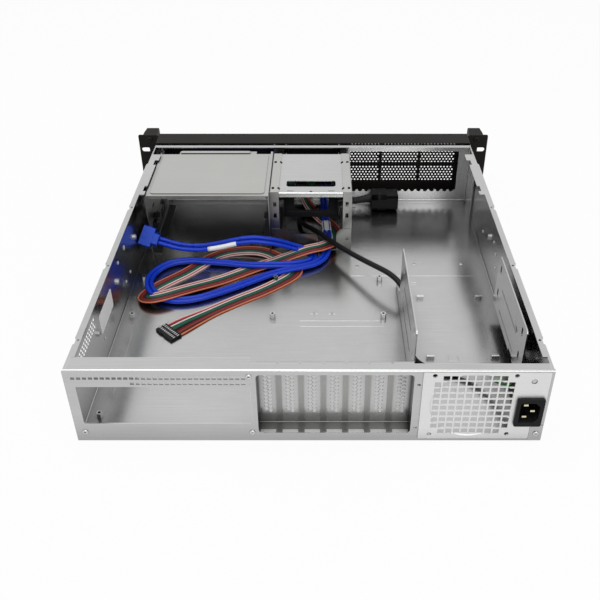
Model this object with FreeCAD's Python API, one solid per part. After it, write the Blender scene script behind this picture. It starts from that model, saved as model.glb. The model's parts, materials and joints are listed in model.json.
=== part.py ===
"""Short-depth 2U rackmount server chassis, lid off, modelled in millimetres.

Frame: +Z up, the front faces -Y, +X is to the right seen from the front.
The origin is under the middle of the case, on the plane that it stands on.
Distances called "d" run forward from the outside of the rear wall.
"""
import FreeCAD, Part
import math
import os

V = FreeCAD.Vector

# ---------------------------------------------------------------- driving dimensions
# case
body_width = 430.0              # outside of the side walls
body_height = 86.3              # underside of the floor to the top of the walls
body_depth = 480.0              # rack ear plane to the outside of the rear wall
sheet = 1.2                     # main steel sheet
thin_sheet = 1.0                # cages, slot frame and covers
bend = 1.0                      # inside bend radius
fit = 0.3                       # ordinary gap between separate pieces
bite = 0.01                     # overlap of solids that are joined into one
clear = 1.0                     # how far a cutting solid reaches past its cut

# rack ears and handles
ear_span = 482.6                # outside of the ears, 19 inch rack
ear_height = 88.1               # two rack units less the usual clearance
ear_sheet = 1.7
ear_hole_span = 465.1           # rack hole columns
ear_hole_pitch = 44.45          # one rack unit
ear_slot_length = 12.0
ear_slot_height = 6.5
ear_leg_length = 80.0           # leg along the side wall
handle_reach = 34.0
handle_bar = 10.0               # thickness of the loop
handle_width = 19.0             # across the loop where it meets the ear
handle_taper = 2.5              # narrower on each side at the grip
handle_x = 225.8                # middle of the loop

# front
front_wall_back = 26.6          # ear plane to the front face of the inner front wall
front_wall_d = body_depth - front_wall_back
bezel_proud = 6.0               # bezel face ahead of the ear plane
bezel_back_d = front_wall_d + 1.6     # rear edge of the bezel's flanges
bezel_sheet = 1.2

# openings in the front, as left and right edges in x and low and high edges in z
vent_columns = [(-92.5, -50.5), (-147.0, -96.5), (-198.5, -151.0)]
vent_rows = [(14.5, 40.0), (44.5, 77.0)]
large_bay = (54.0, 200.5, 40.0, 82.0)
centre_bay = (-36.0, 38.0, 50.0, 80.0)

# side wall top flanges
flange_wide = 13.0
flange_narrow = 7.0
flange_wide_d = (body_depth - 165.0, body_depth - 56.5)
lid_notch_d = (41.5, 162.6, 284.0)

# rear wall
flange_io = 17.8                # top flange over the connector window
flange_rest = 9.5
io_window = (51.7, 205.8, 21.8, 67.2)
slot_pitch = 20.32
slot_count = 7
slot_middle_x = -23.25
slot_opening = (139.5, 9.6, 81.2)     # width, lower edge, upper edge
slot_recess = 14.6
slot_bar = 5.0
slot_screw_d = 6.5
slot_screw_shank = 1.3
cover_width = 18.4
cover_hole = 3.5                # across the flats
fan_x = -146.2
fan_z = 45.4
fan_hole_pitch = 71.5
grille_count = 10
grille_pitch = 7.25
grille_hole = 5.8
fan_opening = (77.2, 20.0)      # square opening behind the grille: side, corner radius
dish_radius = 38.3              # the grille is pressed in by a shallow round dish
dish_depth = 0.9
dish_rim = 0.4                  # flat sheet kept outside the dish
fan_plate_edges = (-212.0, -100.4, 3.7, 84.2)
fan_plate_sheet = 1.0
inlet_x = -198.4
inlet_z = 38.2
inlet_flange = (25.0, 33.6, 2.5)      # across, high, thick
inlet_depth = 23.0

# drive cages
cage_top = 84.0
large_cage = (52.3, 202.6)      # outside faces of its side walls
large_cage_d = (body_depth - 164.5, body_depth - 43.0)
centre_cage = (-49.0, 52.0)
centre_cage_d = (body_depth - 155.0, body_depth - 49.0)
cage_flange = 11.0
foot_high = 32.0
foot_low = 24.5
foot_gap = (-30.0, -7.0)        # cable gap in the foot bracket
tray_edges = (-33.0, 36.0)
tray_floor = 38.0
tray_height = 24.0

# power supply brackets
bracket_left_x = -100.0
bracket_right_x = -203.5
bracket_top = 82.0
bracket_d = (58.0, 204.0)
bracket_right_front_d = 190.0
bracket_right_low = 17.0
bracket_foot_d = 243.0
bracket_foot_z = 17.0
bracket_slot_d = (74.0, 177.0)
bracket_slot_z = (41.0, 70.5)
foot_screw_d = (75.0, 150.0, bracket_foot_d - 15.0)
foot_screw_inset = 10.0
foot_screw_shank = 1.4

# board standoffs, on the usual full-size board grid
standoff_height = 6.5
standoff_across = 5.5
board_edge_d = 18.4
board_rows = (10.16, 165.10, 237.49)
board_columns = (0.0, 157.48, 281.94)
board_first_x = 201.0

# front controls
board_gap = 15.0                # inside of the bezel to the control board
board_sheet = 1.6
board_edges = (-44.0, 46.0, 7.0, 37.0)
power_x = 33.0
reset_x = 18.0
control_z = 22.0
power_radius = 6.0
reset_radius = 2.6
power_stroke = 1.5
reset_stroke = 1.0
button_gap = 0.3
button_proud = 2.6
led_x = (8.0, 1.5, -5.0)
led_radius = 1.5
usb_x = (-17.5, -34.5)
usb_size = (13.2, 5.8, 15.5)    # across, high, deep

# ---------------------------------------------------------------- places worked out
rear_proud = fan_plate_sheet + inlet_flange[2]
total_depth = handle_reach + ear_sheet + body_depth + rear_proud
rear_y = total_depth / 2 - rear_proud
ear_y = rear_y - body_depth
half = body_width / 2
front_half = half - ear_sheet            # the walls step in where the ear legs lie
bezel_face_y = ear_y - bezel_proud
bezel_half = front_half - fit
floor_top = sheet
parts = {}


def rear(d):
    """Y of a place that lies d in front of the outside of the rear wall."""
    return rear_y - d


# ---------------------------------------------------------------- shape helpers
def block(x0, x1, y0, y1, z0, z1):
    low = V(min(x0, x1), min(y0, y1), min(z0, z1))
    return Part.makeBox(abs(x1 - x0), abs(y1 - y0), abs(z1 - z0), low)


def rod(radius, start, end):
    run = end - start
    return Part.makeCylinder(radius, run.Length, start, run)


def on_xz(y):
    return lambda u, v: V(u, y, v)


def on_yz(x):
    return lambda u, v: V(x, u, v)


def on_xy(z):
    return lambda u, v: V(u, v, z)


def prism(points, place, along):
    """Straight-sided outline laid out by place and pushed along a vector."""
    corners = [place(u, v) for u, v in points]
    wire = Part.makePolygon(corners + corners[:1])
    return Part.Face(wire).extrude(along)


def hexagon(cu, cv, across, place, along, turn=0.0):
    radius = across / math.sqrt(3)
    angles = [math.radians(turn + 60 * k) for k in range(6)]
    points = [(cu + radius * math.cos(a), cv + radius * math.sin(a)) for a in angles]
    return prism(points, place, along)


def rounded(u0, u1, v0, v1, r, place, along):
    """Rectangle with round corners, as a solid."""
    c = r * (1 - math.sqrt(0.5))
    marks = [(u0 + r, v0), (u1 - r, v0), (u1 - c, v0 + c), (u1, v0 + r), (u1, v1 - r),
             (u1 - c, v1 - c), (u1 - r, v1), (u0 + r, v1), (u0 + c, v1 - c),
             (u0, v1 - r), (u0, v0 + r), (u0 + c, v0 + c)]
    at = [place(u, v) for u, v in marks]
    edges = []
    for k in range(4):
        a, b, c1, d = at[3 * k], at[3 * k + 1], at[3 * k + 2], at[(3 * k + 3) % 12]
        if a.distanceToPoint(b) > 1e-6:
            edges.append(Part.LineSegment(a, b).toShape())
        edges.append(Part.Arc(b, c1, d).toShape())
    return Part.Face(Part.Wire(edges)).extrude(along)


def folded_face(path, thickness, radius, place):
    """Section of a folded sheet. The path is one surface, the sheet is on its left."""
    count = len(path)
    ways = []
    for k in range(count - 1):
        du, dv = path[k + 1][0] - path[k][0], path[k + 1][1] - path[k][1]
        run = math.hypot(du, dv)
        ways.append((du / run, dv / run))
    near, far = [], []
    first, last = path[0], path[-1]
    near.append(("point", first))
    far.append(("point", (first[0] - ways[0][1] * thickness, first[1] + ways[0][0] * thickness)))
    for k in range(1, count - 1):
        (au, av), (bu, bv) = ways[k - 1], ways[k]
        cross = au * bv - av * bu
        turn = math.atan2(cross, au * bu + av * bv)
        side = 1 if turn > 0 else -1
        near_r = radius + thickness if side > 0 else radius
        far_r = radius if side > 0 else radius + thickness
        back = near_r * math.tan(abs(turn) / 2)
        cu = path[k][0] - au * back - av * near_r * side
        cv = path[k][1] - av * back + au * near_r * side
        mu, mv = path[k][0] - cu, path[k][1] - cv
        span = math.hypot(mu, mv)
        for line, r in ((near, near_r), (far, far_r)):
            start = (cu + av * r * side, cv - au * r * side)
            middle = (cu + mu / span * r, cv + mv / span * r)
            end = (cu + bv * r * side, cv - bu * r * side)
            line.append(("arc", start, middle, end))
    near.append(("point", last))
    far.append(("point", (last[0] - ways[-1][1] * thickness, last[1] + ways[-1][0] * thickness)))
    edges = []

    def trace(line):
        here = None
        for item in line:
            if item[0] == "point":
                goal = item[1]
                if here is not None:
                    edges.append(Part.LineSegment(place(*here), place(*goal)).toShape())
                here = goal
            else:
                edges.append(Part.LineSegment(place(*here), place(*item[1])).toShape())
                edges.append(Part.Arc(place(*item[1]), place(*item[2]), place(*item[3])).toShape())
                here = item[3]

    trace(near)
    edges.append(Part.LineSegment(place(*last), place(*far[-1][1])).toShape())
    back = [("arc", i[3], i[2], i[1]) if i[0] == "arc" else i for i in reversed(far)]
    trace(back)
    edges.append(Part.LineSegment(place(*far[0][1]), place(*first)).toShape())
    return Part.Face(Part.Wire(edges))


def cut_all(shape, tools):
    return shape.cut(Part.makeCompound(tools)) if tools else shape


def join(pieces):
    whole = pieces[0]
    for piece in pieces[1:]:
        whole = whole.fuse(piece)
    return whole.removeSplitter()


def save(name, shape):
    if isinstance(shape, list):
        shape = Part.makeCompound(shape)
    parts[name] = shape
    shape.exportStep("parts/" + name + ".step")


head_rim = 0.6                  # share of a screw head's height that is straight
head_top = 0.6                  # width of the flat on top against the head's width


def pan_screw(at, way, radius, height, shank, length):
    """Screw with a domed head; at is the seat of the head, way points out of it."""
    out = V(*way)
    rim = height * head_rim
    head = Part.makeCylinder(radius, rim, at, out)
    dome = Part.makeCone(radius, radius * head_top, height - rim, at + out * rim, out)
    stem = Part.makeCylinder(shank, length, at - out * length, out)
    return head.fuse(dome).fuse(stem).removeSplitter()


# ---------------------------------------------------------------- case
def pan_section(wide, y):
    path = [(-wide + flange_wide, body_height), (-wide, body_height), (-wide, 0),
            (wide, 0), (wide, body_height), (wide - flange_wide, body_height)]
    return folded_face(path, sheet, bend, on_xz(y))


step_length = 4.0
step_d = body_depth - ear_leg_length - step_length - fit
rail_nut_d = (102.5, 192.8, 286.0)
rail_nut_z = 44.6
rail_nut_hole = 2.1
side_vent_d = (20.0, 102.0)
side_vent_z = (57.0, 70.0)
side_vent_pitch = 5.2
side_vent_hole = 3.6
clip_places = [(-125.8, 218.5), (-193.8, 218.5), (-125.8, 112.5), (-193.8, 112.5)]
clip_width = 8.0
clip_height = 4.5
clip_hook = 4.0                 # how far a clip's top reaches forward
clip_bend = 0.6
flange_slot_d = (body_depth - 150.0, body_depth - 80.0)
# holes in the floor as x, d and radius
floor_holes = [(-55.3, 286.0, 2.6), (-3.0, 190.5, 1.5), (-23.3, 190.5, 1.5),
               (-126.3, 291.8, 2.2), (-184.3, 291.8, 2.2), (-56.0, body_depth - 49.2, 3.0)]


def side_vents():
    """Staggered round-cornered holes high in the +X wall, behind the board."""
    tools = []
    rows = int((side_vent_z[1] - side_vent_z[0]) / (side_vent_pitch * 0.87)) + 1
    columns = int((side_vent_d[1] - side_vent_d[0]) / side_vent_pitch) + 1
    for row in range(rows):
        z = side_vent_z[0] + row * side_vent_pitch * 0.87
        shift = side_vent_pitch / 2 if row % 2 else 0
        for column in range(columns - row % 2):
            y = rear(side_vent_d[0] + shift + column * side_vent_pitch)
            tools.append(hexagon(y, z, side_vent_hole, on_yz(half - 2 * sheet),
                                 V(3 * sheet, 0, 0), 30))
    return tools


def base_pan():
    """Floor, both side walls and their top flanges, folded from one sheet."""
    front_y = rear(front_wall_d)
    step_y = rear(step_d)
    front = pan_section(front_half, front_y).extrude(V(0, step_y - step_length - front_y, 0))
    middle_wires = [pan_section(front_half, step_y - step_length).OuterWire,
                    pan_section(half, step_y).OuterWire]
    middle = Part.makeLoft(middle_wires, True, True)
    back = pan_section(half, step_y).extrude(V(0, rear(sheet) - step_y, 0))
    pan = front.fuse(middle).fuse(back)
    tools = side_vents()
    top = body_height
    for side in (-1, 1):
        inner = side * (front_half - flange_wide - 1)
        tools.append(block(inner, side * (half - corner_relief), rear(-clear),
                           rear(flange_io + fit), top - 2 * sheet, top + 1))
        tools.append(block(inner, side * (half + 1), rear(-clear), rear(sheet + bend + fit),
                           top - sheet - bend - fit, top + 1))
        tools.append(block(inner, side * (half - flange_narrow), rear(0),
                           rear(flange_wide_d[0]), top - 2 * sheet, top + 1))
        tools.append(block(inner, side * (front_half - sheet - 1.2), rear(flange_wide_d[1]),
                           rear(body_depth), top - 2 * sheet, top + 1))
        for d in flange_slot_d:
            edge = half - flange_wide
            tools.append(block(side * (edge - 3), side * (edge + 3.2), rear(d - 6.5),
                               rear(d + 6.5), top - 2 * sheet, top + 1))
        for d in lid_notch_d:
            tools.append(block(side * (half - 2.2), side * (half + 1), rear(d - 5.5),
                               rear(d + 5.5), top - 6.0, top + 1))
            tools.append(rod(1.4, V(side * (half - 4.6), rear(d), top - 2 * sheet),
                             V(side * (half - 4.6), rear(d), top + 1)))
        for d in rail_nut_d:
            tools.append(rod(rail_nut_hole, V(side * (half - 3), rear(d), rail_nut_z),
                             V(side * (half + 1), rear(d), rail_nut_z)))
        for d in ear_screw_d:
            for z in ear_screw_z:
                tools.append(rod(ear_screw_shank + fit, V(side * (front_half + clear), rear(d), z),
                                 V(side * (front_half - sheet - clear), rear(d), z)))
    for x, d, r in floor_holes:
        tools.append(rod(r, V(x, rear(d), -clear), V(x, rear(d), sheet + clear)))
    for x, d in clip_places:
        tools.append(block(x - clip_width / 2, x + clip_width / 2, rear(d),
                           rear(d + clip_hook + clear), -clear, sheet + clear))
    pan = cut_all(pan, tools)
    clips = []
    for x, d in clip_places:
        hook_z = clip_height + sheet
        path = [(rear(d), 0), (rear(d), hook_z), (rear(d + clip_hook), hook_z)]
        clips.append(folded_face(path, sheet, clip_bend, on_yz(x - clip_width / 2))
                     .extrude(V(clip_width, 0, 0)))
        clips.append(block(x - clip_width / 2, x + clip_width / 2, rear(d) - sheet,
                           rear(d) + bite, 0, sheet))
    return join([pan] + clips)


io_slot = (3.8, 2.8)
io_slot_pitch = 5.15
io_slot_rows = ((77.4, 30, 208.4), (71.0, 20, 157.0))
slot_corner = 4.0
corner_tab_edges = (-214.6, -202.5, 1.5, 20.0)
rear_flange = 11.0
corner_relief = 3.2             # what is left of a flange end at the rear corners
rear_screw_places = [(52.3, 79.6), (52.3, 10.9), (206.3, 11.6), (-208.8, 10.5)]
rear_screw_shank = 1.3
edge_holes = [(-97.2, 69.6), (-97.3, 17.1)]
edge_hole_radius = 1.6
earth_place = (-198.0, 74.3)
earth_stud_radius = 2.0


def rear_panel():
    """Rear wall: plate with a top flange, and lips that lie inside the pan."""
    y = rear_y
    top = body_height
    lip = half - sheet - fit
    path = [(y, 0), (y, top), (y - flange_io, top)]
    wall = folded_face(path, sheet, bend, on_yz(-half)).extrude(V(2 * half, 0, 0))
    lips = []
    for side in (-1, 1):
        lips.append(block(side * lip, side * (lip - sheet), y - sheet + bite,
                          y - sheet - rear_flange, floor_top + fit, top - sheet - 3 * fit))
    lips.append(block(-lip + 2, lip - 2, y - sheet + bite, y - sheet - rear_flange,
                      floor_top, floor_top + sheet))
    wall = join([wall] + lips)
    tools = [block(-half - 1, io_window[0], y - flange_io - 1, y - flange_rest,
                   top - sheet - 0.5, top + 1)]
    x0, x1, z0, z1 = io_window
    through = V(0, 3 * sheet, 0)
    back = y - 2 * sheet
    tools.append(rounded(x0, x1, z0, z1, 1.0, on_xz(back), through))
    for z, count, start in io_slot_rows:
        for k in range(count):
            x = start - io_slot[0] / 2 - k * io_slot_pitch
            tools.append(block(x - io_slot[0] / 2, x + io_slot[0] / 2, back, y + 1,
                               z - io_slot[1] / 2, z + io_slot[1] / 2))
    wide, low, high = slot_opening
    tools.append(rounded(slot_middle_x - wide / 2, slot_middle_x + wide / 2, low, high,
                         slot_corner, on_xz(back), through))
    reach = fan_opening[0] / 2
    tools.append(rounded(fan_x - reach, fan_x + reach, fan_z - reach, fan_z + reach,
                         fan_opening[1], on_xz(back), through))
    for du in (-1, 1):
        for dv in (-1, 1):
            x = fan_x + du * fan_hole_pitch / 2
            z = fan_z + dv * fan_hole_pitch / 2
            tools.append(rod(2.6, V(x, back, z), V(x, y + 1, z)))
    tools += inlet_cut(back)
    for side in (-1, 1):
        tools.append(block(side * (half - corner_relief), side * (half + 1), y - flange_io - 1,
                           y - sheet - bend - 0.2, top - sheet - 0.5, top + 1))
    for x, z in rear_screw_places:
        tools.append(rod(rear_screw_shank + 0.1, V(x, back, z), V(x, y + 1, z)))
    x, z = earth_place
    tools.append(rod(earth_stud_radius + 0.1, V(x, back, z), V(x, y + 1, z)))
    for x, z in edge_holes:
        tools.append(rod(edge_hole_radius, V(x, back, z), V(x, y + 1, z)))
    return cut_all(wall, tools)


def inlet_cut(back):
    """Hole for the inlet's body, a gap wider than the body all round."""
    wide = inlet_flange[0] / 2 - 1.6
    high = inlet_flange[1] / 2 - 2.6
    return [block(inlet_x - wide, inlet_x + wide, back, rear_y + 3,
                  inlet_z - high, inlet_z + high)]


def fan_dish():
    """Round dish pressed into the fan plate: a thin disc with a sloping wall."""
    low = -dish_depth
    slope = dish_depth
    section = [(0, fan_plate_sheet + low), (dish_radius - slope - 0.4, fan_plate_sheet + low),
               (dish_radius - 0.4, fan_plate_sheet), (dish_radius + dish_rim, fan_plate_sheet),
               (dish_radius + dish_rim, 0), (dish_radius, 0), (dish_radius - slope, low), (0, low)]
    corners = [V(fan_x + r, rear_y + out, fan_z) for r, out in section]
    face = Part.Face(Part.makePolygon(corners + corners[:1]))
    return face.revolve(V(fan_x, rear_y, fan_z), V(0, 1, 0), 360)


def fan_plate():
    """Plate over the power end of the rear wall: grille and inlet opening."""
    x0, x1, z0, z1 = fan_plate_edges
    y = rear_y
    plate = rounded(x0, x1, z0, z1, 1.0, on_xz(y), V(0, fan_plate_sheet, 0))
    plate = plate.cut(rod(dish_radius + dish_rim - bite, V(fan_x, y - 1, fan_z),
                          V(fan_x, y + 3, fan_z)))
    plate = join([plate, fan_dish()])
    tools = [block(x0 - 1, corner_tab_edges[1] + fit, y - 1, y + 3, 0,
                   corner_tab_edges[3] + fit)]
    tools.append(rod(earth_stud_radius + 0.8, V(earth_place[0], y - 1, earth_place[1]),
                     V(earth_place[0], y + 3, earth_place[1])))
    first = -(grille_count - 1) / 2 * grille_pitch
    side = grille_hole / 2
    for row in range(grille_count):
        for column in range(grille_count):
            x = fan_x + first + column * grille_pitch
            z = fan_z + first + row * grille_pitch
            if {row, column} - {0, grille_count - 1}:
                tools.append(block(x - side, x + side, y - 2, y + 3, z - side, z + side))
    for du in (-1, 1):
        for dv in (-1, 1):
            x = fan_x + du * fan_hole_pitch / 2
            z = fan_z + dv * fan_hole_pitch / 2
            tools.append(rod(2.15, V(x, y - 1, z), V(x, y + 3, z)))
    tools += inlet_cut(y - 1)
    return cut_all(plate, tools)


def slot_centre(k):
    return slot_middle_x + ((slot_count - 1) / 2 - k) * slot_pitch


def slot_frame():
    """Recessed frame behind the slot opening: a shelf, a sill and vertical bars."""
    wide, low, high = slot_opening
    x0 = slot_middle_x - wide / 2 - thin_sheet
    x1 = slot_middle_x + wide / 2 + thin_sheet
    outer = rear(sheet)
    deep = rear(slot_recess)
    path = [(outer, low), (deep, low), (deep, high), (outer, high)]
    frame = folded_face(path, thin_sheet, 0.5, on_yz(x0)).extrude(V(x1 - x0, 0, 0))
    sides = [block(x0, x0 + thin_sheet, deep, outer, low, high),
             block(x1 - thin_sheet, x1, deep, outer, low, high)]
    frame = join([frame] + sides)
    tools = []
    for k in range(slot_count):
        c = slot_centre(k)
        gap = (slot_pitch - slot_bar) / 2
        tools.append(block(c - gap, c + gap, deep - 3, deep + 0.4, low + 1.0, high - 2.0))
        tools.append(rod(slot_screw_shank + 0.1, V(c, rear(slot_screw_d), high - 1),
                         V(c, rear(slot_screw_d), high + 2 * thin_sheet)))
    return cut_all(frame, tools)


cover_rows = 10
cover_row_pitch = 4.55
cover_row_low = 24.0
cover_tab = 11.0


def slot_cover(k):
    """Blank slot cover: a vented strip with its top tab on the frame's shelf."""
    c = slot_centre(k)
    wide, low, high = slot_opening
    face = rear(slot_recess + thin_sheet)
    shelf = high + thin_sheet
    top = shelf + thin_sheet
    foot = 5.0
    path = [(face, foot), (face, shelf), (face + cover_tab, shelf)]
    cover = folded_face(path, thin_sheet, 0.5, on_yz(c - cover_width / 2))
    cover = cover.extrude(V(cover_width, 0, 0))
    tools = []
    back = face - 3
    for row in range(cover_rows):
        z = cover_row_low + row * cover_row_pitch
        for side in (-1, 1):
            x = c + side * cover_row_pitch * 0.43
            dz = cover_row_pitch / 4 * side
            tools.append(hexagon(x, z + dz, cover_hole, on_xz(back), V(0, 5, 0)))
    notch = rod(1.7, V(c, rear(slot_screw_d), shelf - 1), V(c, rear(slot_screw_d), top + 1))
    tools.append(notch)
    return cut_all(cover, tools)


# ---------------------------------------------------------------- front
scallop_pitch = 9.1
scallop_radius = 3.2
vent_low = 18.6
front_top_flange = 8.7
front_foot = 10.0


def front_wall():
    """Bare steel wall behind the bezel, with the bay, vent and cable openings."""
    y = rear(front_wall_d)
    inner = front_half - sheet - fit
    path = [(y + front_top_flange, body_height), (y, body_height), (y, floor_top),
            (y + front_foot, floor_top)]
    wall = folded_face(path, sheet, bend, on_yz(-inner)).extrude(V(2 * inner, 0, 0))
    lips = [block(side * inner, side * (inner - sheet), y + sheet - 0.01, y + front_foot,
                  floor_top + sheet + 1, body_height - sheet - 1) for side in (-1, 1)]
    wall = join([wall] + lips)
    through = V(0, 3 * sheet, 0)
    back = y - sheet
    x0 = vent_columns[-1][0]
    x1 = vent_columns[0][1]
    tools = [block(x0, x1, back, back + 3 * sheet, vent_low, vent_rows[1][1])]
    count = int((x1 - x0 - 2 * scallop_radius) / scallop_pitch) + 1
    start = (x0 + x1) / 2 - (count - 1) / 2 * scallop_pitch
    for k in range(count):
        x = start + k * scallop_pitch
        tools.append(rod(scallop_radius, V(x, back, vent_low), V(x, back + 3 * sheet, vent_low)))
    tools.append(rounded(large_bay[0] - 1, large_bay[1] + 1, large_bay[2] - 1,
                         large_bay[3] + 1, 1.5, on_xz(back), through))
    tools.append(rounded(centre_bay[0] - 1, centre_bay[1] + 1, centre_bay[2] - 1,
                         centre_bay[3] + 1, 1.5, on_xz(back), through))
    tools.append(rounded(board_edges[0] + 8, board_edges[1] - 8, board_edges[2],
                         board_edges[3], 3.0, on_xz(back), through))
    for x in (172.3, 157.5, 98.3, 45.8, 17.5, -78.1, -94.3):
        tools.append(block(x - 3, x + 3, y - 1, y + 2.2, body_height - sheet - 0.6,
                           body_height + 1))
    for side in (-1, 1):
        tools.append(block(side * (inner - bend - fit), side * (inner + 1), y - 1,
                           y + front_foot + 1, body_height - sheet - bend - fit, body_height + 1))
        tools.append(block(side * (inner - bend), side * (inner + 1), y - 1, y + front_foot + 1,
                           0, floor_top + bend + fit))
    return cut_all(wall, tools)


def bezel():
    """Black front panel: a shallow pan with all its edges folded back."""
    y0 = bezel_face_y
    y1 = rear(bezel_back_d)
    outer = Part.makeBox(2 * bezel_half, y1 - y0, ear_height, V(-bezel_half, y0, 0))
    rim = [e for e in outer.Edges if e.BoundBox.YMin < y0 + 0.1]
    outer = outer.makeFillet(1.6, rim)
    t = bezel_sheet
    inner = Part.makeBox(2 * (bezel_half - t), y1 - y0, ear_height - 2 * t,
                         V(-bezel_half + t, y0 + t, t))
    pan = outer.cut(inner)
    through = V(0, 3 * t, 0)
    back = y0 - t
    tools = []
    for low, high in vent_rows:
        for left, right in vent_columns:
            tools.append(block(left, right, back, back + 3 * t, low, high))
    for x0, x1, z0, z1 in (large_bay, centre_bay):
        tools.append(rounded(x0, x1, z0, z1, 1.5, on_xz(back), through))
    for x, radius in ((power_x, power_radius), (reset_x, reset_radius)):
        tools.append(rod(radius + button_gap, V(x, back, control_z), V(x, y0 + 3 * t, control_z)))
    for x in led_x:
        tools.append(rod(led_radius + 0.15, V(x, back, control_z), V(x, y0 + 3 * t, control_z)))
    for x in usb_x:
        w, h = usb_size[0] / 2 + fit, usb_size[1] / 2 + fit
        tools.append(block(x - w, x + w, back, y0 + 3 * t, control_z - h, control_z + h))
    return cut_all(pan, tools)


mesh_sheet = 0.8
mesh_columns = 5
mesh_rows = 3
mesh_margin = 4.0


def vent_mesh():
    """Punched sheet behind the bezel's six windows."""
    y = bezel_face_y + bezel_sheet
    x0 = vent_columns[-1][0] - mesh_margin
    x1 = vent_columns[0][1] + mesh_margin
    z0 = vent_rows[0][0] - mesh_margin
    z1 = vent_rows[1][1] + mesh_margin
    tools = []
    for low, high in vent_rows:
        for left, right in vent_columns:
            du = (right - left) / mesh_columns
            dv = (high - low) / mesh_rows
            across = min(du, dv) - 1.4
            for column in range(mesh_columns):
                for row in range(mesh_rows):
                    x = left + (column + 0.5) * du
                    z = low + (row + 0.5) * dv
                    tools.append(hexagon(x, z, across, on_xz(y - 1), V(0, 3, 0)))
    return cut_all(block(x0, x1, y, y + mesh_sheet, z0, z1), tools)


def bay_blank(edges, arm):
    """Snap-in plastic cover: a rimmed plate with two sprung arms behind it."""
    x0, x1, z0, z1 = edges
    y = bezel_face_y
    plate = rounded(x0 + fit, x1 - fit, z0 + fit, z1 - fit, 1.2, on_xz(y), V(0, 2.0, 0))
    rim = rounded(x0 + 2, x1 - 2, z0 + 2, z1 - 2, 1.0, on_xz(y + 2.0), V(0, 5.0, 0))
    rim = rim.cut(rounded(x0 + 3.6, x1 - 3.6, z0 + 3.6, z1 - 3.6, 1.0, on_xz(y + 2.0),
                          V(0, 6.0, 0)))
    pieces = [plate, rim]
    middle = (z0 + z1) / 2
    for x, way in ((x0 + 2, -1), (x1 - 2, 1)):
        pieces.append(block(x, x - way * 1.6, y + 2.0, y + 2.0 + arm, middle - 6, middle + 6))
        hook_y = y + bezel_sheet + fit
        hook = prism([(x, hook_y), (x + way * 3.2, hook_y), (x, hook_y + 5.0)],
                     on_xy(middle - 5), V(0, 0, 10))
        pieces.append(hook)
    return join(pieces)


def mirror(shape):
    return shape.mirror(V(0, 0, 0), V(1, 0, 0))


ear_leg_z = (4.0, 82.0)
ear_screw_d = (body_depth - 68.0, body_depth - 40.0)
ear_screw_z = (16.0, 70.0)
ear_screw_shank = 1.5


handle_margin = 1.4             # ear edge to the handle


def handle_screw_z(side):
    return ear_height / 2 + side * (ear_height / 2 - handle_margin - handle_bar / 2)


def ear():
    """Right-hand rack ear: slotted plate and the leg that is screwed to the wall."""
    section = folded_face([(front_half, ear_y + ear_leg_length), (front_half, ear_y - ear_sheet),
                           (ear_span / 2, ear_y - ear_sheet)], ear_sheet, bend, on_xy(0))
    plate = section.extrude(V(0, 0, ear_height))
    plate = plate.cut(block(front_half - 1, front_half + 2 * ear_sheet, ear_y + 3,
                            ear_y + ear_leg_length + 1, ear_leg_z[1], ear_height + 1))
    plate = plate.cut(block(front_half - 1, front_half + 2 * ear_sheet, ear_y + 3,
                            ear_y + ear_leg_length + 1, -1, ear_leg_z[0]))
    corners = [e for e in plate.Edges if e.BoundBox.XMin > ear_span / 2 - 0.1
               and e.BoundBox.YLength > 1 and e.BoundBox.ZLength < 0.1]
    plate = plate.makeFillet(2.0, corners)
    tools = []
    u0 = ear_hole_span / 2 - ear_slot_length / 2
    for side in (-1, 1):
        z = ear_height / 2 + side * ear_hole_pitch / 2
        tools.append(rounded(u0, u0 + ear_slot_length, z - ear_slot_height / 2,
                             z + ear_slot_height / 2, ear_slot_height / 2 - 0.01,
                             on_xz(ear_y - 2 * ear_sheet), V(0, 3 * ear_sheet, 0)))
        hz = handle_screw_z(side)
        tools.append(rod(2.2, V(handle_x, ear_y - 3 * ear_sheet, hz), V(handle_x, ear_y + 1, hz)))
    for d in ear_screw_d:
        for z in ear_screw_z:
            tools.append(rod(ear_screw_shank + fit, V(front_half - 1, rear(d), z),
                             V(front_half + 3, rear(d), z)))
    return cut_all(plate, tools)


def handle():
    """Pull handle: a rounded loop, wide at the ear and narrower at the grip."""
    y0 = ear_y - ear_sheet
    y1 = y0 - handle_reach
    z0, z1 = handle_margin, ear_height - handle_margin
    outer = rounded(y1, y0 + 12, z0, z1, 11.0, on_yz(handle_x - handle_width),
                    V(2 * handle_width, 0, 0))
    hole = rounded(y1 + handle_bar, y0 + 12, z0 + handle_bar, z1 - handle_bar, 7.0,
                   on_yz(handle_x - handle_width), V(2 * handle_width, 0, 0))
    loop = outer.cut(hole)
    w = handle_width / 2
    n = w - handle_taper
    top = prism([(handle_x - w, y0), (handle_x - w, y0 - 10), (handle_x - n, y1 - 1),
                 (handle_x + n, y1 - 1), (handle_x + w, y0 - 10), (handle_x + w, y0)],
                on_xy(-1), V(0, 0, ear_height + 2))
    loop = loop.common(top)
    tools = []
    for side in (-1, 1):
        z = handle_screw_z(side)
        tools.append(rod(2.0, V(handle_x, y0 - 14, z), V(handle_x, y0 + 1, z)))
    return cut_all(loop, tools).removeSplitter()


def handle_screws():
    """Four pan-head screws through the ears into the handles."""
    screws = []
    for side in (-1, 1):
        for level in (-1, 1):
            at = V(side * handle_x, ear_y, handle_screw_z(level))
            screws.append(pan_screw(at, (0, 1, 0), 3.8, 2.4, 1.9, ear_sheet + 10))
    return screws


def ear_screws():
    """Eight flat screws that hold the ear legs to the side walls."""
    screws = []
    for side in (-1, 1):
        for d in ear_screw_d:
            for z in ear_screw_z:
                at = V(side * (front_half + ear_sheet), rear(d), z)
                screws.append(pan_screw(at, (side, 0, 0), 3.0, 1.0, ear_screw_shank,
                                        ear_sheet + sheet + 1))
    return screws


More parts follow.
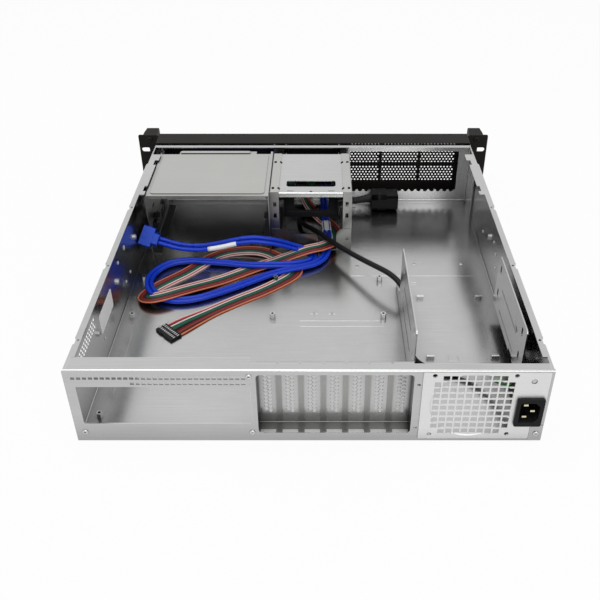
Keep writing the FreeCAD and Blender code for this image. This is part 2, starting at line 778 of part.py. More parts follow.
# ---------------------------------------------------------------- front controls
control_inner_y = bezel_face_y + bezel_sheet
board_y = control_inner_y + board_gap
switch_size = (6.0, 4.0)
header_depth = 9.0


def control_board():
    x0, x1, z0, z1 = board_edges
    board = rounded(x0, x1, z0, z1, 1.5, on_xz(board_y), V(0, board_sheet, 0))
    tools = [rod(1.6, V(x, board_y - 1, z), V(x, board_y + 3, z)) for x, z in post_places()]
    return cut_all(board, tools)


def post_places():
    x0, x1, z0, z1 = board_edges
    return [(x, z) for x in (x0 + 3.5, x1 - 3.5) for z in (z0 + 3.5, z1 - 3.5)]


def board_posts():
    """Hexagonal posts between the bezel and the control board."""
    posts = []
    for x, z in post_places():
        posts.append(hexagon(x, z, 5.0, on_xz(control_inner_y), V(0, board_gap, 0)))
    return posts


def board_screws():
    y = board_y + board_sheet
    return [pan_screw(V(x, y, z), (0, 1, 0), 2.7, 1.6, 1.3, board_sheet)
            for x, z in post_places()]


def button(x, radius, stroke):
    """Push button: cap, retaining collar and a stem that stops short of its switch."""
    face = bezel_face_y - button_proud
    collar_y = control_inner_y + fit
    stop = board_y - switch_size[1] - stroke - fit
    cap = rod(radius, V(x, face, control_z), V(x, collar_y, control_z))
    rim = [e for e in cap.Edges if e.BoundBox.YMax < face + 0.1]
    cap = cap.makeFillet(0.6, rim)
    collar = rod(radius + 1.4, V(x, collar_y, control_z), V(x, collar_y + 1.4, control_z))
    stem = rod(radius * 0.45, V(x, collar_y, control_z), V(x, stop, control_z))
    return join([cap, collar, stem])


def switches():
    """Push switches on the board, one behind each button."""
    wide = switch_size[0] / 2
    return [block(x - wide, x + wide, board_y - switch_size[1], board_y,
                  control_z - wide, control_z + wide) for x in (power_x, reset_x)]


def led_lights():
    """Indicator lights: flanged and domed, from the board out through the bezel."""
    lights = []
    for x in led_x:
        tip = bezel_face_y - 0.3
        body = rod(led_radius, V(x, board_y, control_z), V(x, tip, control_z))
        flange = rod(led_radius + 0.4, V(x, board_y, control_z), V(x, board_y - 1.0, control_z))
        lights.append(join([body, flange]))
    return lights


def usb_shells():
    """Steel shells of the two ports, open to the front."""
    shells = []
    wide, high, deep = usb_size
    for x in usb_x:
        outer = block(x - wide / 2, x + wide / 2, board_y - deep, board_y,
                      control_z - high / 2, control_z + high / 2)
        inner = block(x - wide / 2 + 0.4, x + wide / 2 - 0.4, board_y - deep - 1, board_y - 2.0,
                      control_z - high / 2 + 0.4, control_z + high / 2 - 0.4)
        shells.append(outer.cut(inner))
    return shells


def usb_tongues():
    wide, high, deep = usb_size
    return [block(x - 5.6, x + 5.6, board_y - deep + 1.5, board_y - 2.0,
                  control_z + 0.2, control_z + 2.0) for x in usb_x]


usb_header_x = -14.0
usb_header_size = (22.0, 8.0)
panel_header_x = 17.0
panel_header_size = (13.0, 5.4)


def board_headers():
    """Cable headers on the back of the control board."""
    y = board_y + board_sheet
    blocks = []
    for x, (wide, high) in ((usb_header_x, usb_header_size),
                            (panel_header_x, panel_header_size)):
        blocks.append(block(x - wide / 2, x + wide / 2, y, y + header_depth,
                            control_z - high / 2, control_z + high / 2))
    return blocks


# ---------------------------------------------------------------- drive cages
cage_foot = 12.0
cage_lip = 4.0
panel_step = 0.8
large_window = (38.0, 12.0, 34.0)     # long, lower edge, upper edge
window_corner = 5.0
drive_slot = 4.2                # height of a drive screw's slot
drive_slot_end = 2.0            # its end radius
ledge = (8.0, 14.0)             # width and length of a drive's ledge


def side_window(x, d0, d1, z0, z1, r):
    return rounded(rear(d1), rear(d0), z0, z1, r, on_yz(x - 3), V(6, 0, 0))


def large_cage_shell():
    """Cage of the large bay: top, two side walls and feet, one folded sheet."""
    x0, x1 = large_cage
    d0, d1 = large_cage_d
    path = [(x1 - cage_foot, floor_top), (x1, floor_top), (x1, cage_top), (x0, cage_top),
            (x0, floor_top), (x0 + cage_foot, floor_top)]
    shell = folded_face(path, thin_sheet, bend, on_xz(rear(d1))).extrude(V(0, d1 - d0, 0))
    lip = block(x0 + 4, x1 - 4, rear(d0) - thin_sheet, rear(d0), cage_top - cage_lip,
                cage_top - 0.5)
    raised = rounded(x0 + 6.0, x1 - 6.0, rear(d1 - 10.0), rear(d0 + 5.0), 4.0,
                     on_xy(cage_top), V(0, 0, panel_step))
    rib = rounded(83.0, 175.0, rear(d1 - 1.5), rear(d1 - 7.5), 2.5, on_xy(cage_top),
                  V(0, 0, 2 * panel_step))
    shell = join([shell, lip, raised, rib])
    under = cage_top - thin_sheet
    tools = [rounded(x0 + 7.5, x1 - 7.5, rear(d1 - 11.5), rear(d0 + 6.5), 3.0,
                     on_xy(under - 0.01), V(0, 0, panel_step))]
    tools.append(block(x1 - 26.0, x1 + 1, rear(d1 + 1), rear(d1 - 8.5), under - 1, cage_top + 2))
    tools.append(block(x0 + 3.5, x0 + 22.5, rear(d1 + 1), rear(d1 - 7.5), under - 1, cage_top + 2))
    for x in (x0, x1):
        for d in (d0 + 18.5, d0 + 68.5):
            tools.append(side_window(x, d, d + large_window[0], large_window[1],
                                     large_window[2], window_corner))
        for d in (d0 + 29.5, d0 + 79.5):
            for z in (49.0, 66.0):
                tools.append(side_window(x, d, d + 12.0, z, z + drive_slot, drive_slot_end))
    shell = cut_all(shell, tools)
    ledges = []
    for x, way in ((x0 + thin_sheet, 1), (x1 - thin_sheet, -1)):
        for d in (d0 + 22.5, d0 + 88.5):
            ledges.append(block(x - way * bite, x + way * ledge[0], rear(d), rear(d + ledge[1]),
                                large_bay[2] - thin_sheet, large_bay[2]))
    return join([shell] + ledges)


cage_slot_inset = (3.8, cage_flange)


def cage_slot_d(d0):
    """Places of the slots in the cage's top flanges, from the cage's rear edge."""
    return (d0 + 10.5, d0 + 81.0)


def centre_plate(side):
    """Side plate of the centre cage with its top, rear and floor flanges."""
    d0, d1 = centre_cage_d
    x = centre_cage[1] if side > 0 else centre_cage[0]
    inward = -side
    path = [(x + inward * cage_foot, floor_top), (x, floor_top), (x, cage_top),
            (x + inward * cage_flange, cage_top)]
    if side < 0:
        path = path[::-1]
    plate = folded_face(path, thin_sheet, bend, on_xz(rear(d1))).extrude(V(0, d1 - d0, 0))
    edge = block(x, x + inward * cage_flange, rear(d0) - thin_sheet, rear(d0),
                 floor_top, cage_top)
    plate = join([plate, edge])
    tools = []
    if side > 0:
        for d in (d0 + 15.0, d0 + 61.0):
            tools.append(side_window(x, d, d + 36.0, 12.0, 38.0, window_corner))
    else:
        tools.append(side_window(x, d0 + 67.0, d1 - 1.5, 4.0, 36.0, window_corner))
        tools.append(side_window(x, d0 + 15.0, d0 + 51.0, 14.0, 36.0, window_corner))
    for d in cage_slot_d(d0):
        for inset in cage_slot_inset:
            u = x + inward * inset
            tools.append(block(u - 1.6, u + 1.6, rear(d - 2.6), rear(d + 2.6),
                               cage_top - 2, cage_top + 1))
    for z in (48.0, 64.0):
        tools.append(block(x + inward * 4, x + inward * 8, rear(d0) - 3, rear(d0) + 1, z, z + 6))
    return cut_all(plate, tools)


hand_slot = (61.0, 15.7)        # long, wide


def centre_cover():
    """Cover plate under the centre cage's top flanges, with its long hand slot."""
    d0, d1 = centre_cage_d
    x0, x1 = centre_cage
    top = cage_top - thin_sheet
    wall = thin_sheet + bend
    plate = block(x0 + wall, x1 - wall, rear(d0 + wall), rear(d1), top - thin_sheet, top)
    u0 = x0 + cage_flange + fit
    u1 = x1 - cage_flange - fit
    path = [(rear(d0), top - 6.0), (rear(d0), top), (rear(d0 + 20.0), top)]
    tongue = folded_face(path, thin_sheet, bend, on_yz(u0)).extrude(V(u1 - u0, 0, 0))
    plate = join([plate, tongue])
    middle = (x0 + x1) / 2
    tools = [rounded(middle - hand_slot[0] / 2, middle + hand_slot[0] / 2,
                     rear(d0 + 15.8 + hand_slot[1]), rear(d0 + 15.8), 4.0, on_xy(top - 3),
                     V(0, 0, 5))]
    tools.append(rod(1.6, V(middle, rear(d0 + 3.5), top - 3), V(middle, rear(d0 + 3.5), top + 2)))
    for x in (middle - 25.0, middle + 25.0):
        tools.append(block(x - 4, x + 4, rear(d0 + 4.2), rear(d0 + 5.4), top - 3, top + 2))
    for x, inward in ((x0, 1), (x1, -1)):
        for d in cage_slot_d(d0):
            for inset in cage_slot_inset:
                u = x + inward * inset
                tools.append(block(u - 1.6, u + 1.6, rear(d - 2.6), rear(d + 2.6), top - 3,
                                   top + 2))
    return cut_all(plate, tools)


def drive_tray():
    """Black tray that hangs inside the centre cage from the side plates."""
    x0, x1 = tray_edges
    top = tray_floor + tray_height
    left = centre_cage[0] + thin_sheet + fit
    right = centre_cage[1] - thin_sheet - fit
    path = [(left, top), (x0, top), (x0, tray_floor), (x1, tray_floor), (x1, top), (right, top)]
    d0, d1 = centre_cage_d[0] + 19.0, centre_cage_d[1] - 3.0
    tray = folded_face(path, thin_sheet, bend, on_xz(rear(d1))).extrude(V(0, d1 - d0, 0))
    stop = block(x0 + 2.5, x1 - 2.5, rear(d0) - thin_sheet, rear(d0), tray_floor, tray_floor + 7)
    tray = join([tray, stop])
    tools = [rounded(x0 + 12, x1 - 12, rear(d1 - 14), rear(d0 + 16), 6.0,
                     on_xy(tray_floor - 1), V(0, 0, 4))]
    for x in (x0, x1):
        for d in (d0 + 14.0, d0 + 60.0):
            tools.append(side_window(x, d, d + 10.0, tray_floor + 8, tray_floor + 12, 1.9))
    return cut_all(tray, tools)


def foot_bracket():
    """Low bracket across the centre cage's feet, with the gap that the cables use."""
    x0, x1 = centre_cage
    d0 = centre_cage_d[0]
    g0, g1 = foot_gap
    low = floor_top
    points = [(x0 + 0.8, low), (x0 + 0.8, foot_high), (x0 + 12.0, foot_high),
              (g0 - 4.0, foot_high - 1.0), (g0, foot_high - 6.0), (g0, low + thin_sheet),
              (g1, low + thin_sheet), (g1, foot_low - 7.0), (g1 + 2.5, foot_low - 1.5),
              (g1 + 7.0, foot_low), (23.0, foot_low), (32.0, foot_high - 1.5),
              (38.0, foot_high), (x1 - 0.8, foot_high), (x1 - 0.8, low)]
    plate = prism(points, on_xz(rear(d0)), V(0, thin_sheet, 0))
    foot = block(x0 + cage_foot + fit, x1 - cage_foot - fit, rear(d0) + thin_sheet,
                 rear(d0 + 11.0), low, low + thin_sheet)
    bracket = join([plate, foot])
    tools = [rod(2.2, V(x, rear(d0) - 2, 18.0), V(x, rear(d0) + 3, 18.0))
             for x in (x0 + 5.5, x1 - 5.5)]
    return cut_all(bracket, tools)


# ---------------------------------------------------------------- power supply brackets
def bracket_holes(x, tools, d1):
    for d in (bracket_d[0] + 15.0, d1):
        for z in bracket_slot_z:
            tools.append(side_window(x, d - 2.3, d + 2.3, z - 5.0, z + 5.0, 2.25))


def bracket_ribs(x, d0, d1):
    """Long pressed ribs: raised on the far face and sunk in the near one."""
    raised, sunk = [], []
    for z in (29.0, 55.0):
        raised.append(rounded(rear(d1), rear(d0), z - 2.6, z + 2.6, 2.5,
                              on_yz(x - sheet - 0.7), V(0.8, 0, 0)))
        sunk.append(rounded(rear(d1) + 1, rear(d0) - 1, z - 1.6, z + 1.6, 1.5,
                            on_yz(x - 0.7), V(1.7, 0, 0)))
    return raised, sunk


def round_corners(shape, radius, places):
    """Rounds the sheet corners that run along X at the given y and z."""
    edges = []
    for e in shape.Edges:
        c = e.BoundBox.Center
        if e.BoundBox.XLength > 0.5 and e.BoundBox.YLength < 0.1 and e.BoundBox.ZLength < 0.1:
            if any(abs(c.y - y) < 0.3 and abs(c.z - z) < 0.3 for y, z in places):
                edges.append(e)
    return shape.makeFillet(radius, edges)


def psu_bracket_left():
    """Upright plate beside the board, with a low foot that reaches forward."""
    x = bracket_left_x
    d0, d1 = bracket_d
    path = [(x - 13.0, floor_top), (x, floor_top), (x, bracket_top)]
    plate = folded_face(path, sheet, bend, on_xz(rear(bracket_foot_d)))
    plate = plate.extrude(V(0, bracket_foot_d - d0, 0))
    away = rounded(rear(bracket_foot_d + 20), rear(d1), bracket_foot_z, bracket_top + 20, 4.0,
                   on_yz(x - 3), V(6, 0, 0))
    plate = plate.cut(away)
    plate = round_corners(plate, 4.0, [(rear(d0), bracket_top), (rear(d1), bracket_top),
                                       (rear(bracket_foot_d), bracket_foot_z)])
    raised, sunk = bracket_ribs(x, 92.0, 168.0)
    tools = list(sunk)
    bracket_holes(x, tools, d1 - 27.0)
    for d in foot_screw_d:
        tools.append(rod(foot_screw_shank + 0.1, V(x - foot_screw_inset, rear(d), 0),
                         V(x - foot_screw_inset, rear(d), floor_top + 2 * sheet)))
    return cut_all(join([plate] + raised), tools)


def psu_bracket_right():
    """Plate along the side wall, carried by a step that is welded to the wall."""
    x = bracket_right_x
    wall = -(half - sheet)
    d0, d1 = bracket_d[0], bracket_right_front_d
    low = bracket_right_low
    path = [(wall, low + 14.0), (wall, low), (x, low), (x, bracket_top)]
    plate = folded_face(path, sheet, bend, on_xz(rear(d1))).extrude(V(0, d1 - d0, 0))
    plate = round_corners(plate, 5.0, [(rear(d0), bracket_top), (rear(d1), bracket_top)])
    raised, sunk = bracket_ribs(x, 92.0, 162.0)
    tools = list(sunk)
    tools.append(block(x - 2.4, x + 1, rear(90.0), rear(106.0), low - 1, low + 6.0))
    tools.append(prism([(rear(97.0), 61.0), (rear(87.0), 61.0), (rear(92.0), 53.0)],
                       on_yz(x - 2), V(4, 0, 0)))
    bracket_holes(x, tools, d1 - 13.0)
    return cut_all(join([plate] + raised), tools)


def bracket_screws():
    """Three screws in the foot of the upright bracket."""
    at_x = bracket_left_x - foot_screw_inset
    top = floor_top + sheet
    return [pan_screw(V(at_x, rear(d), top), (0, 0, 1), 2.8, 1.8, foot_screw_shank, sheet)
            for d in foot_screw_d]


# ---------------------------------------------------------------- board standoffs, nuts
def standoffs():
    """Threaded hexagonal standoffs for the main board."""
    posts = []
    for row in board_rows:
        for column in board_columns:
            x = board_first_x - column
            y = rear(board_edge_d + row)
            post = hexagon(x, y, standoff_across, on_xy(floor_top), V(0, 0, standoff_height))
            hole = rod(1.45, V(x, y, floor_top + 1.0), V(x, y, floor_top + standoff_height + 1))
            posts.append(post.cut(hole))
    return posts


def rail_nuts():
    """Pressed nuts inside the side walls for the slide rails."""
    nuts = []
    for side in (-1, 1):
        for d in rail_nut_d:
            at = V(side * (half - sheet), rear(d), rail_nut_z)
            nut = Part.makeCylinder(3.4, 2.2, at, V(-side, 0, 0))
            nuts.append(nut.cut(Part.makeCylinder(rail_nut_hole, 4.0, at + V(side, 0, 0),
                                                  V(-side, 0, 0))))
    return nuts


def slot_screws():
    top = slot_opening[2] + 2 * thin_sheet
    return [pan_screw(V(slot_centre(k), rear(slot_screw_d), top), (0, 0, 1), 2.8, 1.6,
                      slot_screw_shank, 3.2) for k in range(slot_count)]


def corner_tab():
    """Small plate over the power-side corner of the rear wall, under its own screw."""
    x0, x1, z0, z1 = corner_tab_edges
    x, z = rear_screw_places[-1]
    tab = rounded(x0, x1, z0, z1, 1.0, on_xz(rear_y), V(0, thin_sheet, 0))
    return tab.cut(rod(rear_screw_shank + 0.1, V(x, rear_y - 1, z), V(x, rear_y + 3, z)))


def rear_screws():
    """Small screws in the rear wall; the last one holds the corner plate."""
    screws = []
    for x, z in rear_screw_places:
        seat = rear_y + (thin_sheet if x < corner_tab_edges[1] else 0)
        screws.append(pan_screw(V(x, seat, z), (0, 1, 0), 2.6, 1.4, rear_screw_shank,
                                sheet + seat - rear_y))
    return screws


# ---------------------------------------------------------------- power inlet
blade_across = 7.0


def ac_inlet():
    """Appliance inlet turned upright: flange, body and the recess for the plug."""
    wide, high, thick = inlet_flange
    y = rear_y + fan_plate_sheet
    x, z = inlet_x, inlet_z
    flange = rounded(x - wide / 2, x + wide / 2, z - high / 2, z + high / 2, 2.0,
                     on_xz(y), V(0, thick, 0))
    bw, bh = wide / 2 - 1.9, high / 2 - 2.9
    body = block(x - bw, x + bw, y - inlet_depth, y, z - bh, z + bh)
    rw, rh = 9.0, 12.0
    cut = 4.5
    outline = [(x - rw, z - rh + cut), (x - rw, z + rh - cut), (x - rw + cut, z + rh),
               (x + rw, z + rh), (x + rw, z - rh), (x - rw + cut, z - rh)]
    recess = prism(outline, on_xz(y + thick - 16.0), V(0, 17.0, 0))
    return join([flange, body]).cut(recess)


def inlet_pins():
    """Three flat contact blades: they stand in the recess and end as rear tabs."""
    y0 = rear_y + fan_plate_sheet - inlet_depth
    y1 = rear_y + fan_plate_sheet + inlet_flange[2] - 16.0
    pins = []
    for dx, dz in ((3.2, blade_across), (3.2, -blade_across), (-3.4, 0.0)):
        x, z = inlet_x + dx, inlet_z + dz
        pins.append(block(x - 2.0, x + 2.0, y1, y1 + 13.0, z - 1.0, z + 1.0))
        pins.append(block(x - 2.4, x + 2.4, y0 - 7.0, y0, z - 0.4, z + 0.4))
    return pins


# ---------------------------------------------------------------- earth stud
ring_sheet = 0.8


def earth_stud():
    """Welded stud through the rear wall, with the nut that clamps the ring terminal."""
    x, z = earth_place
    stud = rod(earth_stud_radius, V(x, rear_y + 0.4, z), V(x, rear(9.0), z))
    nut = hexagon(x, z, 7.0, on_xz(rear(sheet + ring_sheet)), V(0, -3.2, 0))
    nut = nut.cut(rod(earth_stud_radius, V(x, rear(0), z), V(x, rear(9.0), z)))
    return [stud, nut]


def ring_terminal():
    """Crimp ring on the stud, with its barrel along the wall."""
    x, z = earth_place
    y = rear(sheet + ring_sheet)
    ring = rod(4.2, V(x, y, z), V(x, y + ring_sheet, z))
    neck = block(x, x + 7.0, y, y + ring_sheet, z - 1.6, z + 1.6)
    barrel = rod(earth_radius + 0.6, V(x + 6.0, rear(earth_d), z), V(x + 12.0, rear(earth_d), z))
    step = block(x + 5.0, x + 7.0, rear(earth_d), y + ring_sheet, z - 1.6, z + 1.6)
    terminal = join([ring, neck, step, barrel])
    return terminal.cut(rod(earth_stud_radius, V(x, rear(0), z), V(x, rear(9.0), z)))


# ---------------------------------------------------------------- cables
# each route is (x, d, z) along the middle of its cable, laid out for this depth of case;
# in a deeper case the part ahead of route_fixed_d is drawn out to reach the front
route_depth = 480.0
route_fixed_d = 200.0
power_radius_cord = 3.25
usb_radius = 2.6
ribbon_radius = 0.8
earth_radius = 1.1
earth_d = 4.4
boot_wall = 1.6
boot_d = (22.0, 36.0)           # along the inlet's tabs
boot_nose = 3.0

boot_half = (inlet_flange[0] / 2 - 2.9, inlet_flange[1] / 2 - 3.9)
boot_side_x = inlet_x + boot_half[0]

power_route = [
    (inlet_x, boot_d[1] + boot_nose, inlet_z), (inlet_x, 51, inlet_z), (-192, 65, 32),
    (-180, 77, 20), (-163, 85.5, 9.5), (-146, 88, 5), (-130, 90.5, 5), (-115.5, 95.5, 6.4),
    (-106.5, 107, 6.8), (-104.9, 125, 6.8), (-104.9, 143, 7.3), (-104.9, 158, 7.5),
    (-105.2, 174, 9), (-106.2, 190, 13.5), (-106.2, 205.5, 20.5), (-100, 219, 26.2),
    (-89.5, 232, 28.9), (-76, 247, 27.6), (-61, 266, 24.4), (-46, 286.5, 21.3),
    (-30, 309, 18.3), (-19, 326.5, 16.2), (-6, 347, 14.5), (8, 366, 11), (19, 386, 6.5),
    (17, 407, 5), (3, 418.5, 5), (-17, 421, 8.5), (-37, 423, 12.6), (-55, 426.4, 14.6)]
usb_route = [
    (-14, 459.2, 22), (-14, 446, 22), (-14.5, 428, 18), (-16, 405, 11), (-17.5, 382, 6.6),
    (-19, 358, 5.5), (-19, 335, 5.5), (-18.5, 315, 5.5), (-14, 298, 5.6), (-3, 285, 6),
    (12, 278, 6.6), (30, 271, 6.6), (50, 263, 6), (70, 250.4, 5.6), (90, 236.8, 5.6),
    (110, 225, 5.6), (131, 214, 5.6), (152, 209, 5.6), (171, 213, 5.7), (185, 225, 5.7),
    (193.5, 241, 5.7), (194, 259, 5.7), (186, 277, 5.6), (171, 289, 5.8), (150, 292.5, 6.2),
    (128, 289.5, 6.4), (104, 287, 6.2), (80, 281, 6.6), (56, 279, 7.9), (32, 280, 7.9),
    (12, 284.5, 6.4), (-1, 293, 5.6), (-1.5, 304, 6), (8, 311.5, 8.5), (24, 309.5, 15.5),
    (39, 302.5, 25), (54, 297, 32), (73, 296.5, 34.5), (93, 296, 31.6), (115, 296, 25.6),
    (138, 296, 21.8), (160, 297, 22.6), (178, 299, 27), (189, 300.5, 30.5)]
ribbon_route = [
    (17, 459.2, 22), (17, 448, 22), (13, 432, 18.5), (3, 415, 9.5), (-11, 398, 3.4),
    (-25, 380, 2.2), (-31, 358, 2.2), (-29.5, 340, 5.5), (-22, 324.5, 10.4), (-10, 312, 13.2),
    (4, 306.5, 13.8), (16, 301.5, 12.2), (26, 300.5, 8), (36, 299, 4.4), (49, 291, 3.9),
    (66, 283, 3.5), (88, 269.5, 2.4), (111, 254, 2.4), (132.5, 239.5, 5.5), (152, 224, 9.4),
    (168, 213.5, 10.4), (181, 208.5, 10.2), (190, 211.5, 7.6), (193.2, 219.5, 4.2),
    (190.5, 230, 2.1), (183, 241, 2.05), (168, 256, 2.05), (153, 270, 2.05), (139, 287, 2.05),
    (126, 304, 2.05), (110, 315, 2.2), (91, 319, 2.8), (73, 318, 4), (58, 314, 3.6),
    (46, 307, 2.1), (35, 298, 2.05), (24, 288, 2.05), (19.5, 276, 2.05), (24.5, 264, 2.05),
    (40, 249, 2.05), (61, 231.5, 2.05), (83, 217, 2.05), (105, 200.5, 2.05), (125, 184, 2.05),
    (140, 171, 2.6), (151, 160, 2.6)]
earth_route = [
    (-186.0, earth_d, earth_place[1]), (-179.0, earth_d, earth_place[1]), (-171.5, 8, 73),
    (-166.5, 14, 67.5), (-166, 21, 59.5), (-169, 26.5, 51), (-178.8, 30.5, 42),
    (boot_side_x, 30.5, 42)]


def route_place(x, d, z):
    """Point of a route, drawn out towards the front with the case's depth."""
    ahead = max(0.0, d - route_fixed_d) / (route_depth - route_fixed_d)
    return V(x, rear(d + ahead * (body_depth - route_depth)), z)


arc_share = 0.45                # of the shorter run, on each side of a bend


def route_wire(name, route):
    """Straight runs joined by arcs that are as large as the runs allow."""
    points = [route_place(*place) for place in route]
    edges = []
    radii = []
    here = points[0]
    for k in range(1, len(points) - 1):
        back = points[k - 1] - points[k]
        on = points[k + 1] - points[k]
        reach = arc_share * min(back.Length, on.Length)
        back.normalize()
        on.normalize()
        turn = math.pi - back.getAngle(on)
        radius = reach / math.tan(turn / 2)
        radii.append(radius)
        start = points[k] + back * reach
        end = points[k] + on * reach
        inward = (back + on).normalize()
        middle = points[k] + inward * (radius / math.cos(turn / 2) - radius)
        edges.append(Part.LineSegment(here, start).toShape())
        edges.append(Part.Arc(start, middle, end).toShape())
        here = end
    edges.append(Part.LineSegment(here, points[-1]).toShape())
    print("%-14s radii %s" % (name, " ".join("%.0f" % min(r, 999) for r in radii)))
    return Part.Wire(edges)


def cord(name, route, radius):
    """Plain round tube along a route."""
    wire = route_wire(name, route)
    start, second = [route_place(*place) for place in route[:2]]
    ring = Part.Wire(Part.makeCircle(radius, start, second - start))
    tube = wire.makePipeShell([ring], True, False)
    ideal = math.pi * radius ** 2 * wire.Length
    print("%-14s length %.1f  volume %.1f  section times length %.1f"
          % (name, wire.Length, tube.Volume, ideal))
    return tube


def route_end(route):
    """Where a route ends and the way that it points there."""
    prior, end = [route_place(*place) for place in route[-2:]]
    return end, (end - prior).normalize()


def inlet_boot():
    """Rubber boot over the inlet's tabs, with the nose that the cord leaves by."""
    bw, bh = boot_half
    y0, y1 = rear(boot_d[1]), rear(boot_d[0])
    x, z = inlet_x, inlet_z
    outer = rounded(x - bw, x + bw, z - bh, z + bh, 2.0, on_xz(y0), V(0, y1 - y0, 0))
    w, h = bw - boot_wall, bh - boot_wall
    inner = block(x - w, x + w, y0 + 5.0, y1 + 1, z - h, z + h)
    nose = rod(power_radius_cord + boot_wall, V(x, y0, z), V(x, y0 - boot_nose, z))
    return join([outer.cut(inner), nose])


plug_x = (-116.0, -80.0)
plug_d = (body_depth - 63.0, body_depth - 35.0)
plug_z = (3.0, 26.6)
plug_nose = 16.0                # the narrower front part
plug_step = 1.5                 # how much narrower it is on each side
contact_slot = (2.4, 4.8, 14.0)       # wide, high, deep
contact_places = [(-7.0, 3.0), (7.0, 3.0), (0.0, -3.5)]


def power_plug():
    """Cord connector: a rounded body with its narrower slotted front."""
    x0, x1 = plug_x
    y0, y1 = rear(plug_d[1]), rear(plug_d[0])
    z0, z1 = plug_z
    body = rounded(y0, y1, z0, z1, 6.0, on_yz(x0 + plug_nose), V(x1 - x0 - plug_nose, 0, 0))
    front = rounded(y0 + plug_step, y1 - plug_step, z0 + plug_step, z1 - plug_step, 3.0,
                    on_yz(x0), V(plug_nose + clear, 0, 0))
    wide, high, deep = contact_slot
    tools = []
    for dy, dz in contact_places:
        y = (y0 + y1) / 2 + dy
        z = (z0 + z1) / 2 + dz
        tools.append(block(x0 - clear, x0 + deep, y - wide / 2, y + wide / 2, z - high / 2,
                           z + high / 2))
    return cut_all(join([body, front]), tools)


relief_length = 30.0
relief_wide = 6.4               # radius where it meets the plug
relief_wall = 1.0
relief_grooves = 3
relief_groove = 1.6
relief_pitch = 5.0


def plug_relief(plug):
    """Tapered strain relief from the plug's rear face to the cord."""
    end, way = route_end(power_route)
    cone = Part.makeCone(power_radius_cord + relief_wall, relief_wide, relief_length, end, way)
    tools = [plug]
    for k in range(relief_grooves):
        at = end + way * (relief_pitch * (k + 1))
        ring = Part.makeCylinder(2 * relief_wide, relief_groove, at, way)
        core = Part.makeCylinder(power_radius_cord + 0.6 + 0.3 * k, relief_groove, at, way)
        tools.append(ring.cut(core))
    pieces = cut_all(cone, tools).Solids
    return max(pieces, key=lambda piece: -abs(piece.CenterOfMass.x - end.x))


def tilted(end, way, wide):
    """Places an outline square to a cable's end, with its width along a vector."""
    across = (wide - way * wide.dot(way)).normalize()
    up = way.cross(across)
    return lambda u, v: end + across * u + up * v


usb_plug_wide = V(0, -0.62, 0.78)     # the way that the connector's long side lies
usb_boot = (18.0, 8.4, 7.0)           # wide, high, long
usb_body = (26.0, 9.8, 14.5)
usb_socket = (22.0, 6.4, 9.0)
usb_key = (6.0, 1.1)                  # wide, proud


def usb_plug():
    """Keyed moulded connector on the end of the front ports' cable."""
    end, way = route_end(usb_route)

    def slab(size, start, corner):
        w, h, run = size[0] / 2, size[1] / 2, size[2]
        place = tilted(end + way * start, way, usb_plug_wide)
        return rounded(-w, w, -h, h, corner, place, way * run)

    boot = slab(usb_boot, 0.0, 3.0)
    body = slab(usb_body, usb_boot[2] - bite, 1.5)
    mouth = usb_boot[2] + usb_body[2] - bite
    socket = slab(usb_socket, mouth - 7.5, 0.6)
    low = usb_body[1] / 2
    place = tilted(end + way * (mouth - 7.5), way, usb_plug_wide)
    key = rounded(-usb_key[0] / 2, usb_key[0] / 2, -low - usb_key[1] + 0.1, -low + 0.1, 0.3,
                  place, way * 7.4)
    return join([boot, body, key]).cut(socket)


housing_pitch = 2.54
housing_gap = 0.1
# positions and length of each small housing
housings_made = [(2, 14.0), (2, 14.4), (2, 13.8), (2, 14.2), (3, 14.0)]


def panel_plug():
    """Row of small crimp housings at the end of the front panel's ribbon."""
    end, way = route_end(ribbon_route)
    way = V(way.x, way.y, 0).normalize()
    side = V(-way.y, way.x, 0)
    base = V(end.x, end.y, floor_top + fit)
    at = -sum(count for count, _ in housings_made) * housing_pitch / 2
    housings = []
    for count, length in housings_made:
        wide = count * housing_pitch
        left = base + side * (at + housing_gap)
        right = base + side * (at + wide - housing_gap)
        corners = [left, right, right + way * length, left + way * length]
        face = Part.Face(Part.makePolygon(corners + corners[:1]))
        housings.append(face.extrude(V(0, 0, housing_pitch + housing_gap)))
        at += wide
    return housings


